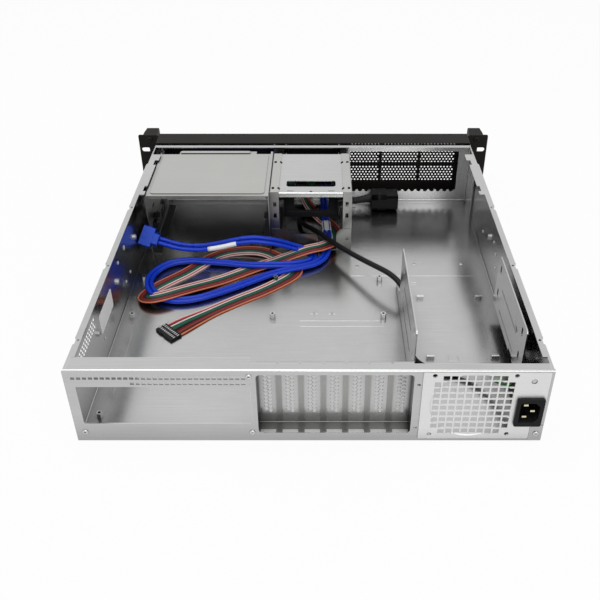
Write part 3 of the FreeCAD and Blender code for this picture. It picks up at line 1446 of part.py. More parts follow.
def main():
    save("base_pan", base_pan())
    save("rear_panel", rear_panel())
    save("fan_plate", fan_plate())
    save("slot_frame", slot_frame())
    for k in range(slot_count):
        save("slot_cover_%d" % (k + 1), slot_cover(k))
    save("slot_screws", slot_screws())
    save("rear_screws", rear_screws())
    save("front_wall", front_wall())
    save("front_bezel", bezel())
    save("vent_mesh", vent_mesh())
    save("bay_blank_large", bay_blank(large_bay, 12.0))
    save("bay_blank_centre", bay_blank(centre_bay, 10.0))
    right_ear = ear()
    save("ear_right", right_ear)
    save("ear_left", mirror(right_ear))
    right_handle = handle()
    save("handle_right", right_handle)
    save("handle_left", mirror(right_handle))
    save("handle_screws", handle_screws())
    save("ear_screws", ear_screws())
    save("control_board", control_board())
    save("board_posts", board_posts())
    save("board_screws", board_screws())
    save("power_button", button(power_x, power_radius, power_stroke))
    save("reset_button", button(reset_x, reset_radius, reset_stroke))
    save("push_switches", switches())
    save("led_lights", led_lights())
    save("usb_shells", usb_shells())
    save("usb_tongues", usb_tongues())
    save("board_headers", board_headers())
    save("large_cage", large_cage_shell())
    save("centre_plate_left", centre_plate(-1))
    save("centre_plate_right", centre_plate(1))
    save("centre_cover", centre_cover())
    save("drive_tray", drive_tray())
    save("foot_bracket", foot_bracket())
    save("psu_bracket_left", psu_bracket_left())
    save("psu_bracket_right", psu_bracket_right())
    save("bracket_screws", bracket_screws())
    save("standoffs", standoffs())
    save("rail_nuts", rail_nuts())
    save("ac_inlet", ac_inlet())
    save("inlet_pins", inlet_pins())
    save("corner_tab", corner_tab())
    save("earth_stud", earth_stud())
    save("ring_terminal", ring_terminal())
    save("inlet_boot", inlet_boot())
    plug = power_plug()
    save("power_plug", plug)
    save("plug_relief", plug_relief(plug))
    save("usb_plug", usb_plug())
    save("panel_plug", panel_plug())
    save("power_cord", cord("power_cord", power_route, power_radius_cord))
    save("usb_cable", cord("usb_cable", usb_route, usb_radius))
    save("panel_ribbon", cord("panel_ribbon", ribbon_route, ribbon_radius))
    save("earth_wire", cord("earth_wire", earth_route, earth_radius))
    for name, shape in parts.items():
        box = shape.BoundBox
        print("%-20s %2d solids  %8.0f mm3  valid %s  [%7.1f %7.1f] [%7.1f %7.1f] [%6.1f %6.1f]"
              % (name, len(shape.Solids), shape.Volume, shape.isValid(), box.XMin, box.XMax,
                 box.YMin, box.YMax, box.ZMin, box.ZMax))


main()
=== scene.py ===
# %% [markdown]
# # An open server case, dressed for its portrait
# The case arrives as a fixed frame of steel, plastic and cable solids, all in metres.
# This script gives every piece its finish, turns the plain cable tubes into real cables,
# and adds the small things that a plain solid leaves out: screw drives, punched mesh,
# rivets and tags. Each cell makes one thing and prints what it made.

# %% Load the frame
import bpy
import bmesh
import json
import math
from mathutils import Matrix, Vector


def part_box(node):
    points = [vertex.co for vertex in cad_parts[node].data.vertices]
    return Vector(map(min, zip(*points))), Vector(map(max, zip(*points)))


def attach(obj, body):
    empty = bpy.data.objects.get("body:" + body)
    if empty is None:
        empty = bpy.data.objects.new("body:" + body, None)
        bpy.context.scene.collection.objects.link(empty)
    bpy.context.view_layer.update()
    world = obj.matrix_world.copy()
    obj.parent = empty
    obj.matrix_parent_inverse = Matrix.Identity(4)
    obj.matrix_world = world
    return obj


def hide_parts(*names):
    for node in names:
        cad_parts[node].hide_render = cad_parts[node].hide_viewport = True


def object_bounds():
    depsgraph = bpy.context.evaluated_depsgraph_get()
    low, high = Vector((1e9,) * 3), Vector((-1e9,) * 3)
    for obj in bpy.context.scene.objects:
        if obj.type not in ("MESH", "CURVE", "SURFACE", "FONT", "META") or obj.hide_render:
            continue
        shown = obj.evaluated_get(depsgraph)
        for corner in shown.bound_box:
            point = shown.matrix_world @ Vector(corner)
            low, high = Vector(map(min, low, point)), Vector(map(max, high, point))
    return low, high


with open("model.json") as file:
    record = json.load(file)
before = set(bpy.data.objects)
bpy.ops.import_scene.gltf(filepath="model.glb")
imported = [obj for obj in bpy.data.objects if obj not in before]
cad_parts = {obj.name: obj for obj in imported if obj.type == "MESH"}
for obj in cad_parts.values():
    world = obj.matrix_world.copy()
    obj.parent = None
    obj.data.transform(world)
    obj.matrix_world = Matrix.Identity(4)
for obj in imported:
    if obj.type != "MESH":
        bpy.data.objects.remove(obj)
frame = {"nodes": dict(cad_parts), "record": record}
case_low, case_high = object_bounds()
nodes = frame["nodes"]
print("nodes:", len(nodes), "case box:", tuple(case_low), tuple(case_high))

# %% [markdown]
# ## The camera
# The case is seen from above and behind, looking down into it, with a slightly long lens
# so that its sides stay nearly parallel. The camera comes first because everything else
# is judged through it. A little shift keeps the walls upright without tilting further.

# %% Set the camera
DOWNWARD_TILT = 34.68  # degrees
scene = bpy.context.scene


def new_object(name, data):
    """An object in the scene that shows the data."""
    made = bpy.data.objects.new(name, data)
    scene.collection.objects.link(made)
    return made


camera_data = bpy.data.cameras.new("case_camera")
camera = new_object("case_camera", camera_data)
camera_data.sensor_width = 36.0
camera_data.lens = 46.26
camera_data.shift_x = -0.0355
camera_data.shift_y = -0.0455
camera_data.clip_end = 50.0
camera.location = (-0.01122, 0.75762, 0.53673)
camera.rotation_euler = (math.radians(90.0 - DOWNWARD_TILT), 0.0, math.radians(180.0))
scene.camera = camera
scene.view_settings.view_transform = "Standard"
print("camera at", tuple(camera.location))

# %% [markdown]
# ## Cable routes
# A cable is a fixed length of something flexible. Each route below is a short list of
# control points along the middle of its cable, where x is across the case, d is the
# distance in front of the rear wall and z is the height, all in millimetres. A smooth
# NURBS spline of order three passes near the points without kinks, as a jacket bends.

# %% Define the routes
REAR_WALL = 0.2561
ROUTES = {"power": [
    (-198.4, 39, 38.2), (-198.4, 51, 38.2), (-192, 65, 32), (-180, 77, 20), (-163, 85.5, 9.5),
    (-146, 88, 5), (-130, 90.5, 5), (-115.5, 95.5, 6.4), (-106.5, 107, 6.8),
    (-104.9, 125, 6.8), (-104.9, 143, 7.3), (-104.9, 158, 7.5), (-105.2, 174, 9),
    (-106.2, 190, 13.5), (-106.2, 205.5, 20.5), (-100, 219, 26.2), (-89.5, 232, 28.9),
    (-76, 247, 27.6), (-61, 266, 24.4), (-46, 286.5, 21.3), (-30, 309, 18.3),
    (-19, 326.5, 16.2), (-6, 347, 14.5), (8, 366, 11), (19, 386, 6.5), (17, 407, 5),
    (3, 418.5, 5), (-17, 421, 8.5), (-37, 423, 12.6), (-55, 426.4, 14.6)],
"usb": [
    (-14, 459.2, 22), (-14, 446, 22), (-14.5, 428, 18), (-16, 405, 11), (-17.5, 382, 6.6),
    (-19, 358, 5.5), (-19, 335, 5.5), (-18.5, 315, 5.5), (-14, 298, 5.6), (-3, 285, 6),
    (12, 278, 6.6), (30, 271, 6.6), (50, 263, 6), (70, 250.4, 5.6), (90, 236.8, 5.6),
    (110, 225, 5.6), (131, 214, 5.6), (152, 209, 5.6), (171, 213, 5.7), (185, 225, 5.7),
    (193.5, 241, 5.7), (194, 259, 5.7), (186, 277, 5.6), (171, 289, 5.8), (150, 292.5, 6.2),
    (128, 289.5, 6.4), (104, 287, 6.2), (80, 281, 6.6), (56, 279, 7.9), (32, 280, 7.9),
    (12, 284.5, 6.4), (-1, 293, 5.6), (-1.5, 304, 6), (8, 311.5, 8.5), (24, 309.5, 15.5),
    (39, 302.5, 25), (54, 297, 32), (73, 296.5, 34.5), (93, 296, 31.6), (115, 296, 25.6),
    (138, 296, 21.8), (160, 297, 22.6), (178, 299, 27), (189, 300.5, 30.5)],
"ribbon": [
    (17, 459.2, 22), (17, 448, 22), (13, 432, 18.5), (3, 415, 9.5), (-11, 398, 3.4),
    (-25, 380, 2.2), (-31, 358, 2.2), (-29.5, 340, 5.5), (-22, 324.5, 10.4), (-10, 312, 13.2),
    (4, 306.5, 13.8), (16, 301.5, 12.2), (26, 300.5, 8), (36, 299, 4.4), (49, 291, 3.9),
    (66, 283, 3.5), (88, 269.5, 2.4), (111, 254, 2.4), (132.5, 239.5, 5.5), (152, 224, 9.4),
    (168, 213.5, 10.4), (181, 208.5, 10.2), (190, 211.5, 7.6), (193.2, 219.5, 4.2),
    (190.5, 230, 2.1), (183, 241, 2.05), (168, 256, 2.05), (153, 270, 2.05), (139, 287, 2.05),
    (126, 304, 2.05), (110, 315, 2.2), (91, 319, 2.8), (73, 318, 4), (58, 314, 3.6),
    (46, 307, 2.1), (35, 298, 2.05), (24, 288, 2.05), (19.5, 276, 2.05), (24.5, 264, 2.05),
    (40, 249, 2.05), (61, 231.5, 2.05), (83, 217, 2.05), (105, 200.5, 2.05), (125, 184, 2.05),
    (140, 171, 2.6), (151, 160, 2.6)],
"earth": [
    (-186, 4.4, 74.3), (-179, 4.4, 74.3), (-171.5, 8, 73), (-166.5, 14, 67.5),
    (-166, 21, 59.5), (-169, 26.5, 51), (-178.8, 30.5, 42), (-188.8, 30.5, 42)]}


def from_rear(x, d, z):
    """A place in metres from millimetres, with d counted from the rear wall."""
    return Vector((x / 1000, REAR_WALL - d / 1000, z / 1000))


def route_line(points):
    """The points that the smooth spline passes through, read from a curve with no bevel."""
    data = bpy.data.curves.new("route_reader", "CURVE")
    data.dimensions = "3D"
    data.resolution_u = 8
    spline = data.splines.new("NURBS")
    spline.points.add(len(points) - 1)
    for point, place in zip(spline.points, points):
        point.co = (*from_rear(*place), 1.0)
    spline.order_u = 3
    spline.use_endpoint_u = True
    curve = new_object("route_reader", data)
    mesh = bpy.data.meshes.new_from_object(curve)
    line = [v.co.copy() for v in mesh.vertices]
    bpy.data.objects.remove(curve)
    return line


def line_length(line):
    return sum((b - a).length for a, b in zip(line, line[1:]))


lines = {title: route_line(points) for title, points in ROUTES.items()}
for title, line in lines.items():
    print("%s cable: %.0f mm" % (title, line_length(line) * 1000))

# %% [markdown]
# ## Shared finishes
# Some effects turn up in many of the materials, so each is a node group that is built once.
# The groups give out only masks and values. The shader itself stays in each material,
# where its gloss can be set as a plain number.

# %% Helpers for nodes and materials
SHADER, GEOMETRY = "ShaderNodeTree", "GeometryNodeTree"
finishes = {}


def feed(tree, node, inputs):
    """Link or set some of a node's inputs, each by its name or number."""
    for key, value in inputs.items():
        if isinstance(value, bpy.types.NodeSocket):
            tree.links.new(value, node.inputs[key])
        else:
            node.inputs[key].default_value = value


def add(tree, kind, inputs=None, **settings):
    """A new node with its settings and its inputs."""
    node = tree.nodes.new(kind)
    for key, value in settings.items():
        setattr(node, key, value)
    feed(tree, node, inputs or {})
    return node


def new_tree(name, family, takes, *gives):
    """A node group; takes maps each input to its number, or to the kind of its socket."""
    tree = bpy.data.node_groups.new(name, family)
    given = dict.fromkeys(gives, "Geometry" if family == GEOMETRY else "Float")
    for way, sockets in (("INPUT", takes), ("OUTPUT", given)):
        for title, value in sockets.items():
            kind = {float: "Float", int: "Int"}.get(type(value), value)
            socket = tree.interface.new_socket(title, in_out=way, socket_type="NodeSocket" + kind)
            if kind != value:
                socket.default_value = value
    return tree, add(tree, "NodeGroupInput").outputs, add(tree, "NodeGroupOutput")


def use_group(tree, name, inputs):
    return add(tree, "ShaderNodeGroup", inputs, node_tree=bpy.data.node_groups[name]).outputs


def math_node(tree, operation, a, b=0.0, clamp=False):
    return add(tree, "ShaderNodeMath", {0: a, 1: b}, operation=operation,
               use_clamp=clamp).outputs[0]


def times(tree, a, b, clamp=False):
    return math_node(tree, "MULTIPLY", a, b, clamp)


def plus(tree, a, b):
    return math_node(tree, "ADD", a, b)


def noise(tree, place, scale, detail=2.0, roughness=0.5, distortion=0.0):
    """A cloudy value between nought and one."""
    return add(tree, "ShaderNodeTexNoise", {
        "Vector": place, "Scale": scale, "Detail": detail, "Roughness": roughness,
        "Distortion": distortion}).outputs[0]


def mix_colours(tree, share, *pair):
    """Two colours in one; each is a socket or three numbers."""
    first, second = [c if isinstance(c, bpy.types.NodeSocket) else (*c, 1) for c in pair]
    return add(tree, "ShaderNodeMix", {0: share, 6: first, 7: second},
               data_type="RGBA").outputs[2]


def bump(tree, height, strength, distance):
    return add(tree, "ShaderNodeBump", {"Height": height, "Strength": strength,
                                        "Distance": distance}).outputs[0]


def new_material(name):
    """A finish under its name; gives its tree, its shader and the place on the piece."""
    finishes[name] = bpy.data.materials.new(name)
    finishes[name].use_nodes = True
    tree = finishes[name].node_tree
    where = add(tree, "ShaderNodeTexCoord").outputs["Object"]
    return tree, tree.nodes["Principled BSDF"], where


print("helpers ready")

# %% [markdown]
# Zinc-coated sheet comes off a roller, so its surface has very fine streaks in one
# direction and a soft cloudiness where the coat is a little thicker. The streaks are a
# noise squeezed along one axis. The clouds are a slow noise with no direction.

# %% Group: rolled sheet grain
tree, given, result = new_tree("rolled_grain", SHADER, {
    "Place": "Vector", "Streak Length": 18.0, "Streak Fineness": 900.0, "Cloud Scale": 14.0},
    "Streak", "Cloud")
squeeze = add(tree, "ShaderNodeCombineXYZ", {
    "X": given["Streak Length"], "Y": given["Streak Fineness"], "Z": given["Streak Fineness"]})
along = add(tree, "ShaderNodeVectorMath", {0: given["Place"], 1: squeeze.outputs[0]},
            operation="MULTIPLY")
feed(tree, result, {
    "Streak": noise(tree, along.outputs[0], 1.0, detail=3.0, roughness=0.6),
    "Cloud": noise(tree, given["Place"], given["Cloud Scale"], detail=4.0, roughness=0.55,
                   distortion=0.4)})
print("group: rolled_grain")

# %% [markdown]
# A folded edge catches the light because it is slightly round, and it is where paint
# rubs thin. The Bevel node rounds the normal near an edge. Comparing that normal with
# the true one gives a mask that is bright only along edges, broken up with a noise.
# The materials lighten their colour with it, partly for rubbed paint and partly as a
# painted highlight along the edge.

# %% Group: edge wear and painted edge highlight
tree, given, result = new_tree("edge_wear", SHADER, {
    "Place": "Vector", "Edge Radius": 0.0006, "Breakup Scale": 160.0}, "Edge Mask")
rounded_normal = add(tree, "ShaderNodeBevel", {"Radius": given["Edge Radius"]}, samples=4)
true_normal = add(tree, "ShaderNodeNewGeometry")
likeness = add(tree, "ShaderNodeVectorMath", {
    0: rounded_normal.outputs[0], 1: true_normal.outputs["Normal"]}, operation="DOT_PRODUCT")
edge = math_node(tree, "SUBTRACT", 1.0, likeness.outputs["Value"], clamp=True)
breakup = noise(tree, given["Place"], given["Breakup Scale"], detail=3.0)
feed(tree, result, {"Edge Mask": times(tree, times(tree, edge, 6.0, clamp=True),
                                  times(tree, breakup, 1.5, clamp=True))})
print("group: edge_wear")

# %% [markdown]
# Even a new case carries a little dust, and it lies on what faces up. The mask takes the
# upward part of the surface's normal and breaks it up with a coarse and a fine noise.

# %% Group: settled dust
tree, given, result = new_tree("settled_dust", SHADER, {
    "Place": "Vector", "Amount": 0.3, "Speck Scale": 420.0}, "Dust")
facing = add(tree, "ShaderNodeSeparateXYZ", {
    0: add(tree, "ShaderNodeNewGeometry").outputs["Normal"]})
upward = math_node(tree, "MAXIMUM", facing.outputs["Z"], 0.0)
patches = noise(tree, given["Place"], 22.0, detail=5.0)
specks = noise(tree, given["Place"], given["Speck Scale"])
lying = times(tree, times(tree, patches, specks), upward)
feed(tree, result, {"Dust": times(tree, lying, given["Amount"])})
print("group: settled_dust")

# %% [markdown]
# Corners and the insides of narrow boxes get little light, and this mask paints that shade
# into the colour. The Ambient Occlusion node measures how closed-in a place is. A power
# sharpens that into a mask.

# %% Group: painted shade in shut-in places
tree, given, result = new_tree("shut_in", SHADER, {"Reach": 0.03, "Sharpness": 1.4}, "Shade")
openness = add(tree, "ShaderNodeAmbientOcclusion", {"Distance": given["Reach"]}, samples=6)
closed = math_node(tree, "SUBTRACT", 1.0, openness.outputs["AO"], clamp=True)
feed(tree, result, {"Shade": math_node(tree, "POWER", closed, given["Sharpness"], clamp=True)})
print("group: shut_in")

# %% [markdown]
# Moulded plastic and powder paint both have a fine pebbled skin. One group makes it from
# small round cells softened by a noise, and each material picks its own size of pebble.

# %% Group: pebbled skin
tree, given, result = new_tree("pebbled_skin", SHADER, {
    "Place": "Vector", "Pebble Scale": 2200.0}, "Height", "Tone")
cells = add(tree, "ShaderNodeTexVoronoi", {
    "Vector": given["Place"], "Scale": given["Pebble Scale"]})
fine = noise(tree, given["Place"], 900.0)
feed(tree, result, {"Height": times(tree, cells.outputs["Distance"], fine),
                    "Tone": noise(tree, given["Place"], 35.0, detail=4.0)})
print("group: pebbled_skin")

# %% [markdown]
# ## Metals
# The case is zinc-coated steel. Metal takes its look from what it reflects, so the colour
# is a plain mid grey and the roughness does the work: rough enough to blur the room,
# smooth enough that the floor of the case darkens where it faces the black front.

# %% Materials: metals
# The second colour is the near-black of painted shade in closed-in places.
DUST_ON_METAL, PAINTED_SHADE_COLOUR = (0.45, 0.44, 0.42), (0.03, 0.03, 0.03)
FINE_STREAKS = (400.0, 1400.0)
STREAK_SHARE = 0.45
CLOUD_DULLS, DUST_DULLS = 0.10, 0.15


def sheet_metal(name, dark, light, rough, edge_colour, dust=0.12, streaks=(18.0, 900.0),
                painted_shade=0.75, reach=0.04, metallic=1.0, sharpness=1.4):
    """Rolled metal with a little dust, edges lightened for wear and as a painted highlight, and
    painted shade in its corners.
    """
    tree, shader, where = new_material(name)
    grain = use_group(tree, "rolled_grain", {"Place": where, "Streak Length": streaks[0],
                                             "Streak Fineness": streaks[1]})
    edge_mask = use_group(tree, "edge_wear", {"Place": where})["Edge Mask"]
    lying = use_group(tree, "settled_dust", {"Place": where, "Amount": dust})["Dust"]
    closed = use_group(tree, "shut_in", {"Reach": reach, "Sharpness": sharpness})["Shade"]
    blend = plus(tree, times(tree, grain["Streak"], STREAK_SHARE),
                 times(tree, grain["Cloud"], 1.0 - STREAK_SHARE))
    # Edges take the lighter edge colour, partly for wear and partly as a painted highlight.
    with_edges = mix_colours(tree, edge_mask, mix_colours(tree, blend, dark, light), edge_colour)
    dusty = mix_colours(tree, lying, with_edges, DUST_ON_METAL)
    shine = plus(tree, times(tree, grain["Cloud"], CLOUD_DULLS), rough - 0.08)
    # The colour turns towards near-black where the place is closed in: painted shade.
    feed(tree, shader, {
        "Base Color": mix_colours(tree, times(tree, closed, painted_shade), dusty, PAINTED_SHADE_COLOUR),
        "Roughness": plus(tree, shine, times(tree, lying, DUST_DULLS)),
        "Normal": bump(tree, grain["Streak"], 0.012, 0.0001), "Metallic": metallic})


sheet_metal("zinc_steel", (0.41, 0.415, 0.41), (0.59, 0.595, 0.59), 0.25, (0.74, 0.74, 0.73))
sheet_metal("bright_zinc", (0.66, 0.665, 0.66), (0.80, 0.805, 0.80), 0.42, (0.90, 0.90, 0.90),
            reach=0.02, metallic=0.55)
# A darker copy of the zinc with deeper painted shade, for the cages that stand in shade.
sheet_metal("cage_zinc", (0.40, 0.40, 0.385), (0.52, 0.52, 0.505), 0.34, (0.66, 0.66, 0.65),
            painted_shade=1.0, reach=0.11, sharpness=0.9)
sheet_metal("screw_steel", (0.45, 0.45, 0.45), (0.64, 0.64, 0.64), 0.26, (0.86, 0.86, 0.86),
            dust=0.1, streaks=FINE_STREAKS, reach=0.004)
sheet_metal("post_metal", (0.55, 0.44, 0.22), (0.76, 0.64, 0.38), 0.3, (0.85, 0.76, 0.5),
            dust=0.1, streaks=FINE_STREAKS)
sheet_metal("contact_metal", (0.62, 0.55, 0.38), (0.82, 0.74, 0.52), 0.24, (0.9, 0.84, 0.64),
            dust=0.0, streaks=FINE_STREAKS)
print("metals:", list(finishes))

# %% [markdown]
# ## Paint and plastic
# The front is powder-coated black: nearly black, dull, and faintly orange-peeled. The
# plastic parts are moulded, slightly smoother, and greyer along edges, where they rub and
# where a highlight is painted in.

# %% Materials: black paint and plastics
DUST_ON_COAT, EDGE_WEAR_AND_HIGHLIGHT = (0.42, 0.41, 0.4), (0.05, 0.05, 0.05)
EDGE_SHARE = 0.6
DEEP_BLACK, SOFT_BLACK = (0.006, 0.006, 0.007), (0.011, 0.011, 0.012)


def coated(name, dark, light, rough, pebble, height, edge_colour=EDGE_WEAR_AND_HIGHLIGHT, dust=0.1, gloss=0.1):
    """Paint or plastic with a pebbled skin, edges lightened for wear and as a painted highlight,
    and a little dust.
    """
    tree, shader, where = new_material(name)
    skin = use_group(tree, "pebbled_skin", {"Place": where, "Pebble Scale": pebble})
    edge_mask = use_group(tree, "edge_wear", {"Place": where})["Edge Mask"]
    lying = use_group(tree, "settled_dust", {"Place": where, "Amount": dust})["Dust"]
    base = mix_colours(tree, skin["Tone"], dark, light)
    # Edges take the lighter edge colour, partly for rubbed paint and partly as a painted
    # highlight.
    with_edges = mix_colours(tree, times(tree, edge_mask, EDGE_SHARE), base, edge_colour)
    feed(tree, shader, {
        "Base Color": mix_colours(tree, lying, with_edges, DUST_ON_COAT),
        "Roughness": plus(tree, times(tree, skin["Tone"], 0.14), rough - 0.07),
        "Normal": bump(tree, skin["Height"], 0.35, height), "Specular IOR Level": gloss})


coated("black_paint", (0.010, 0.009, 0.0085), (0.017, 0.0145, 0.013), 0.58, 1500.0, 0.00012,
       (0.06, 0.054, 0.05), dust=0.04)
coated("black_plastic", DEEP_BLACK, SOFT_BLACK, 0.45, 2600.0, 0.00008)
coated("tray_paint", DEEP_BLACK, SOFT_BLACK, 0.38, 1800.0, 0.0001)
coated("rubber_black", (0.014, 0.014, 0.014), (0.024, 0.024, 0.024), 0.55, 3000.0, 0.00005,
       dust=0.25)
coated("plug_blue", (0.002, 0.045, 0.46), (0.004, 0.065, 0.60), 0.36, 2600.0, 0.00006,
       (0.06, 0.18, 0.72), dust=0.05, gloss=0.4)
print("coats:", list(finishes)[-5:])

# %% [markdown]
# The small control board is a glass-cloth board under green solder mask. The weave of the
# cloth shows faintly through the mask, and copper tracks show as slightly lighter lines.

# %% Material: circuit board
tree, shader, where = new_material("board")
tracks = add(tree, "ShaderNodeTexBrick", {
    "Vector": where, "Scale": 160.0, "Mortar Size": 0.06, "Mortar Smooth": 0.2,
    "Color1": (0.012, 0.075, 0.035, 1), "Color2": (0.010, 0.065, 0.030, 1),
    "Mortar": (0.030, 0.16, 0.075, 1)}, offset=0.4, squash=0.6, squash_frequency=3)
cloth = add(tree, "ShaderNodeTexChecker", {
    "Vector": where, "Scale": 1400.0, "Color1": (0.46, 0.46, 0.46, 1),
    "Color2": (0.54, 0.54, 0.54, 1)})
feed(tree, shader, {"Base Color": tracks.outputs["Color"], "Roughness": 0.32,
                    "Normal": bump(tree, cloth.outputs["Fac"], 0.15, 0.00003)})
print("material: board")

# %% [markdown]
# The indicator lights are clear resin over a small chip. Frosted resin scatters light,
# so the material is part transmission and part soft white.

# %% Material: indicator lens
tree, shader, where = new_material("lens")
feed(tree, shader, {
    "Base Color": mix_colours(tree, noise(tree, where, 1200.0), (0.78, 0.82, 0.85),
                              (0.92, 0.95, 0.97)),
    "Roughness": 0.18, "Transmission Weight": 0.6, "IOR": 1.5})
print("material: lens")

# %% [markdown]
# ## Finishes for the fixed pieces
# The frame's record names a material slot for every piece. The loop below gives each
# piece the finish of its slot. The cables are left out, because they are remade below.

# %% Assign finishes
slot_of = {row["node"]: row["material_slot"] for row in frame["record"]["subparts"]}
# The cages and the plates beside them take the darker zinc copy, with its painted shade.
own_finish = dict.fromkeys(("large_cage", "foot_bracket", "centre_plate_left",
                            "centre_plate_right", "slot_frame"), "cage_zinc")
own_finish["fan_plate"] = "bright_zinc"
dressed = 0
for name, piece in nodes.items():
    if slot_of.get(name) not in finishes:
        continue
    if not piece.material_slots:
        piece.data.materials.append(None)
    for place in piece.material_slots:
        place.material = finishes[own_finish.get(name, slot_of[name])]
    dressed += 1
print("dressed", dressed, "of", len(nodes), "pieces")

# %% [markdown]
# ## The cables
# The two front ports end in a pair of round blue cables that lie side by side, and the
# lights and buttons in a flat row of thin coloured wires. All of them are tubes that
# follow one smooth spline, each at its own distance to one side of it. A pair of
# directions travels along the spline: sideways and up. The lean says which way is up for
# the flat side at a few places, and it turns smoothly between them.

# %% Helpers for meshes and cables
UP = Vector((0, 0, 1))
SOIL_SHARE = 0.22


def mesh_object(name, bm, outward=True):
    """Turn bmesh work into an object, with its faces turned outwards if they enclose it."""
    if outward:
        bmesh.ops.recalc_face_normals(bm, faces=bm.faces)
    data = bpy.data.meshes.new(name)
    bm.to_mesh(data)
    bm.free()
    return new_object(name, data)


def settle(piece, node=None):
    """Ride a piece on the chassis; it may stand for a node."""
    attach(piece, "chassis")
    if node:
        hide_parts(node)
    print("%s: %d faces" % (piece.name, len(piece.data.polygons)))
    return piece


def finish_mesh(name, bm, finish, node=None):
    """A settled piece with one finish."""
    piece = mesh_object(name, bm)
    piece.data.materials.append(finishes[finish])
    return settle(piece, node)


def ring_round(bm, centre, side, up, wide, high, count):
    """Corners on an ellipse about a place."""
    turns = [2 * math.pi * k / count for k in range(count)]
    return [bm.verts.new(centre + side * (wide * math.cos(turn)) + up * (high * math.sin(turn)))
            for turn in turns]


def join_rings(bm, rings, smooth=True):
    """A closed skin over rings of corners: rows of side faces, and the two caps."""
    rows = []
    for low, high in zip(rings, rings[1:]):
        pairs = [(j, (j + 1) % len(low)) for j in range(len(low))]
        rows.append([bm.faces.new((low[j], low[n], high[n], high[j])) for j, n in pairs])
        for face in rows[-1]:
            face.smooth = smooth
    return rows, (bm.faces.new(rings[0][::-1]), bm.faces.new(rings[-1]))


def travelling_frame(line, lean):
    """Distance, side and up at each place; lean lists (share of the length, up)."""
    total = line_length(line)
    gone = 0.0
    frames = []
    for k, place in enumerate(line):
        before, after = line[max(k - 1, 0)], line[min(k + 1, len(line) - 1)]
        forward = (after - before).normalized()
        if k:
            gone += (place - line[k - 1]).length
        share = gone / total
        up = lean[-1][1]
        for (s0, u0), (s1, u1) in zip(lean, lean[1:]):
            if s0 <= share <= s1:
                up = u0.lerp(u1, (share - s0) / (s1 - s0))
                break
        side = forward.cross(up).normalized()
        frames.append((gone, side, side.cross(forward).normalized()))
    return frames


def add_strand(bm, run, line, frames, offsets, radius, sides, tone):
    """One round wire beside the line; its map holds the length and the wire's tone."""
    rows, caps = join_rings(bm, [
        ring_round(bm, place + side * across, side, up, radius, radius, sides)
        for (gone, side, up), place, across in zip(frames, line, offsets)])
    for k, row in enumerate(rows):
        for j, face in enumerate(row):
            corners = ((k, j), (k, j + 1), (k + 1, j + 1), (k + 1, j))
            for loop, (step, turn) in zip(face.loops, corners):
                loop[run].uv = (frames[step][0], tone + 0.9 * turn / sides)
    for face, step in zip(caps, (0, -1)):
        for loop in face.loops:
            loop[run].uv = (frames[step][0], tone + 0.45)


def new_strands():
    """Empty bmesh work with the map that the strands fill in."""
    bm = bmesh.new()
    return bm, bm.loops.layers.uv.new("run")


def jacket(name, colours, rough, gloss=0.3):
    """Soft cable skin; the piece's map tells how far along and which wire it is."""
    tree, shader, where = new_material(name)
    spot = add(tree, "ShaderNodeSeparateXYZ", {
        0: add(tree, "ShaderNodeUVMap", uv_map="run").outputs[0]})
    count = len(colours)
    ramp = add(tree, "ShaderNodeValToRGB", {
        0: math_node(tree, "DIVIDE", spot.outputs["Y"], float(count))})
    ramp.color_ramp.interpolation = "CONSTANT"
    ramp.color_ramp.elements[1].position = 1.0 / count
    for k in range(2, count):
        ramp.color_ramp.elements.new(k / count)
    for element, colour in zip(ramp.color_ramp.elements, colours * 2):
        element.color = (*colour, 1)
    soil = noise(tree, where, 60.0, detail=5.0)
    feed(tree, shader, {
        "Base Color": mix_colours(tree, times(tree, soil, SOIL_SHARE), ramp.outputs[0],
                                  (0.02, 0.02, 0.02)),
        "Normal": bump(tree, noise(tree, where, 700.0, detail=3.0), 0.3, 0.00006),
        "Roughness": plus(tree, times(tree, soil, 0.2), rough - 0.1),
        "Specular IOR Level": gloss})


print("cable helpers ready")

# %% [markdown]
# ### The blue pair
# Each port's cable is a 5.2 mm jacket, and the two lie side by side. They stay flat on the
# floor, turn up on edge where the run arches back over itself, and turn again to enter
# the tilted connector.

# %% Make the blue pair
PAIR_RADIUS = 0.0026
PAIR_GAP = 0.00545
usb_lean = [(0.0, Vector((0, -1, 0.15))), (0.06, Vector((0, -0.3, 1))), (0.12, UP), (0.66, UP),
            (0.74, Vector((-0.1, 0.35, 0.9))), (0.84, Vector((-0.15, 0.75, 0.6))),
            (1.0, Vector((-0.15, 0.76, 0.6)))]
usb_frames = travelling_frame(lines["usb"], usb_lean)
bm, run = new_strands()
for k, side in enumerate((-1, 1)):
    offsets = [side * PAIR_GAP / 2] * len(usb_frames)
    add_strand(bm, run, lines["usb"], usb_frames, offsets, PAIR_RADIUS, 14, k)
jacket("cable_blue", [(0.002, 0.045, 0.62), (0.002, 0.040, 0.56)], 0.30)
blue_pair = finish_mesh("blue_pair", bm, "cable_blue", node="usb_cable")

# %% [markdown]
# ### The row of coloured wires
# Ten thin wires are bonded edge to edge. They stay a flat band until the last few
# centimetres, where they part and fan out to reach their own small plugs. Each wire
# wanders a little to the side, most of all where it is free.

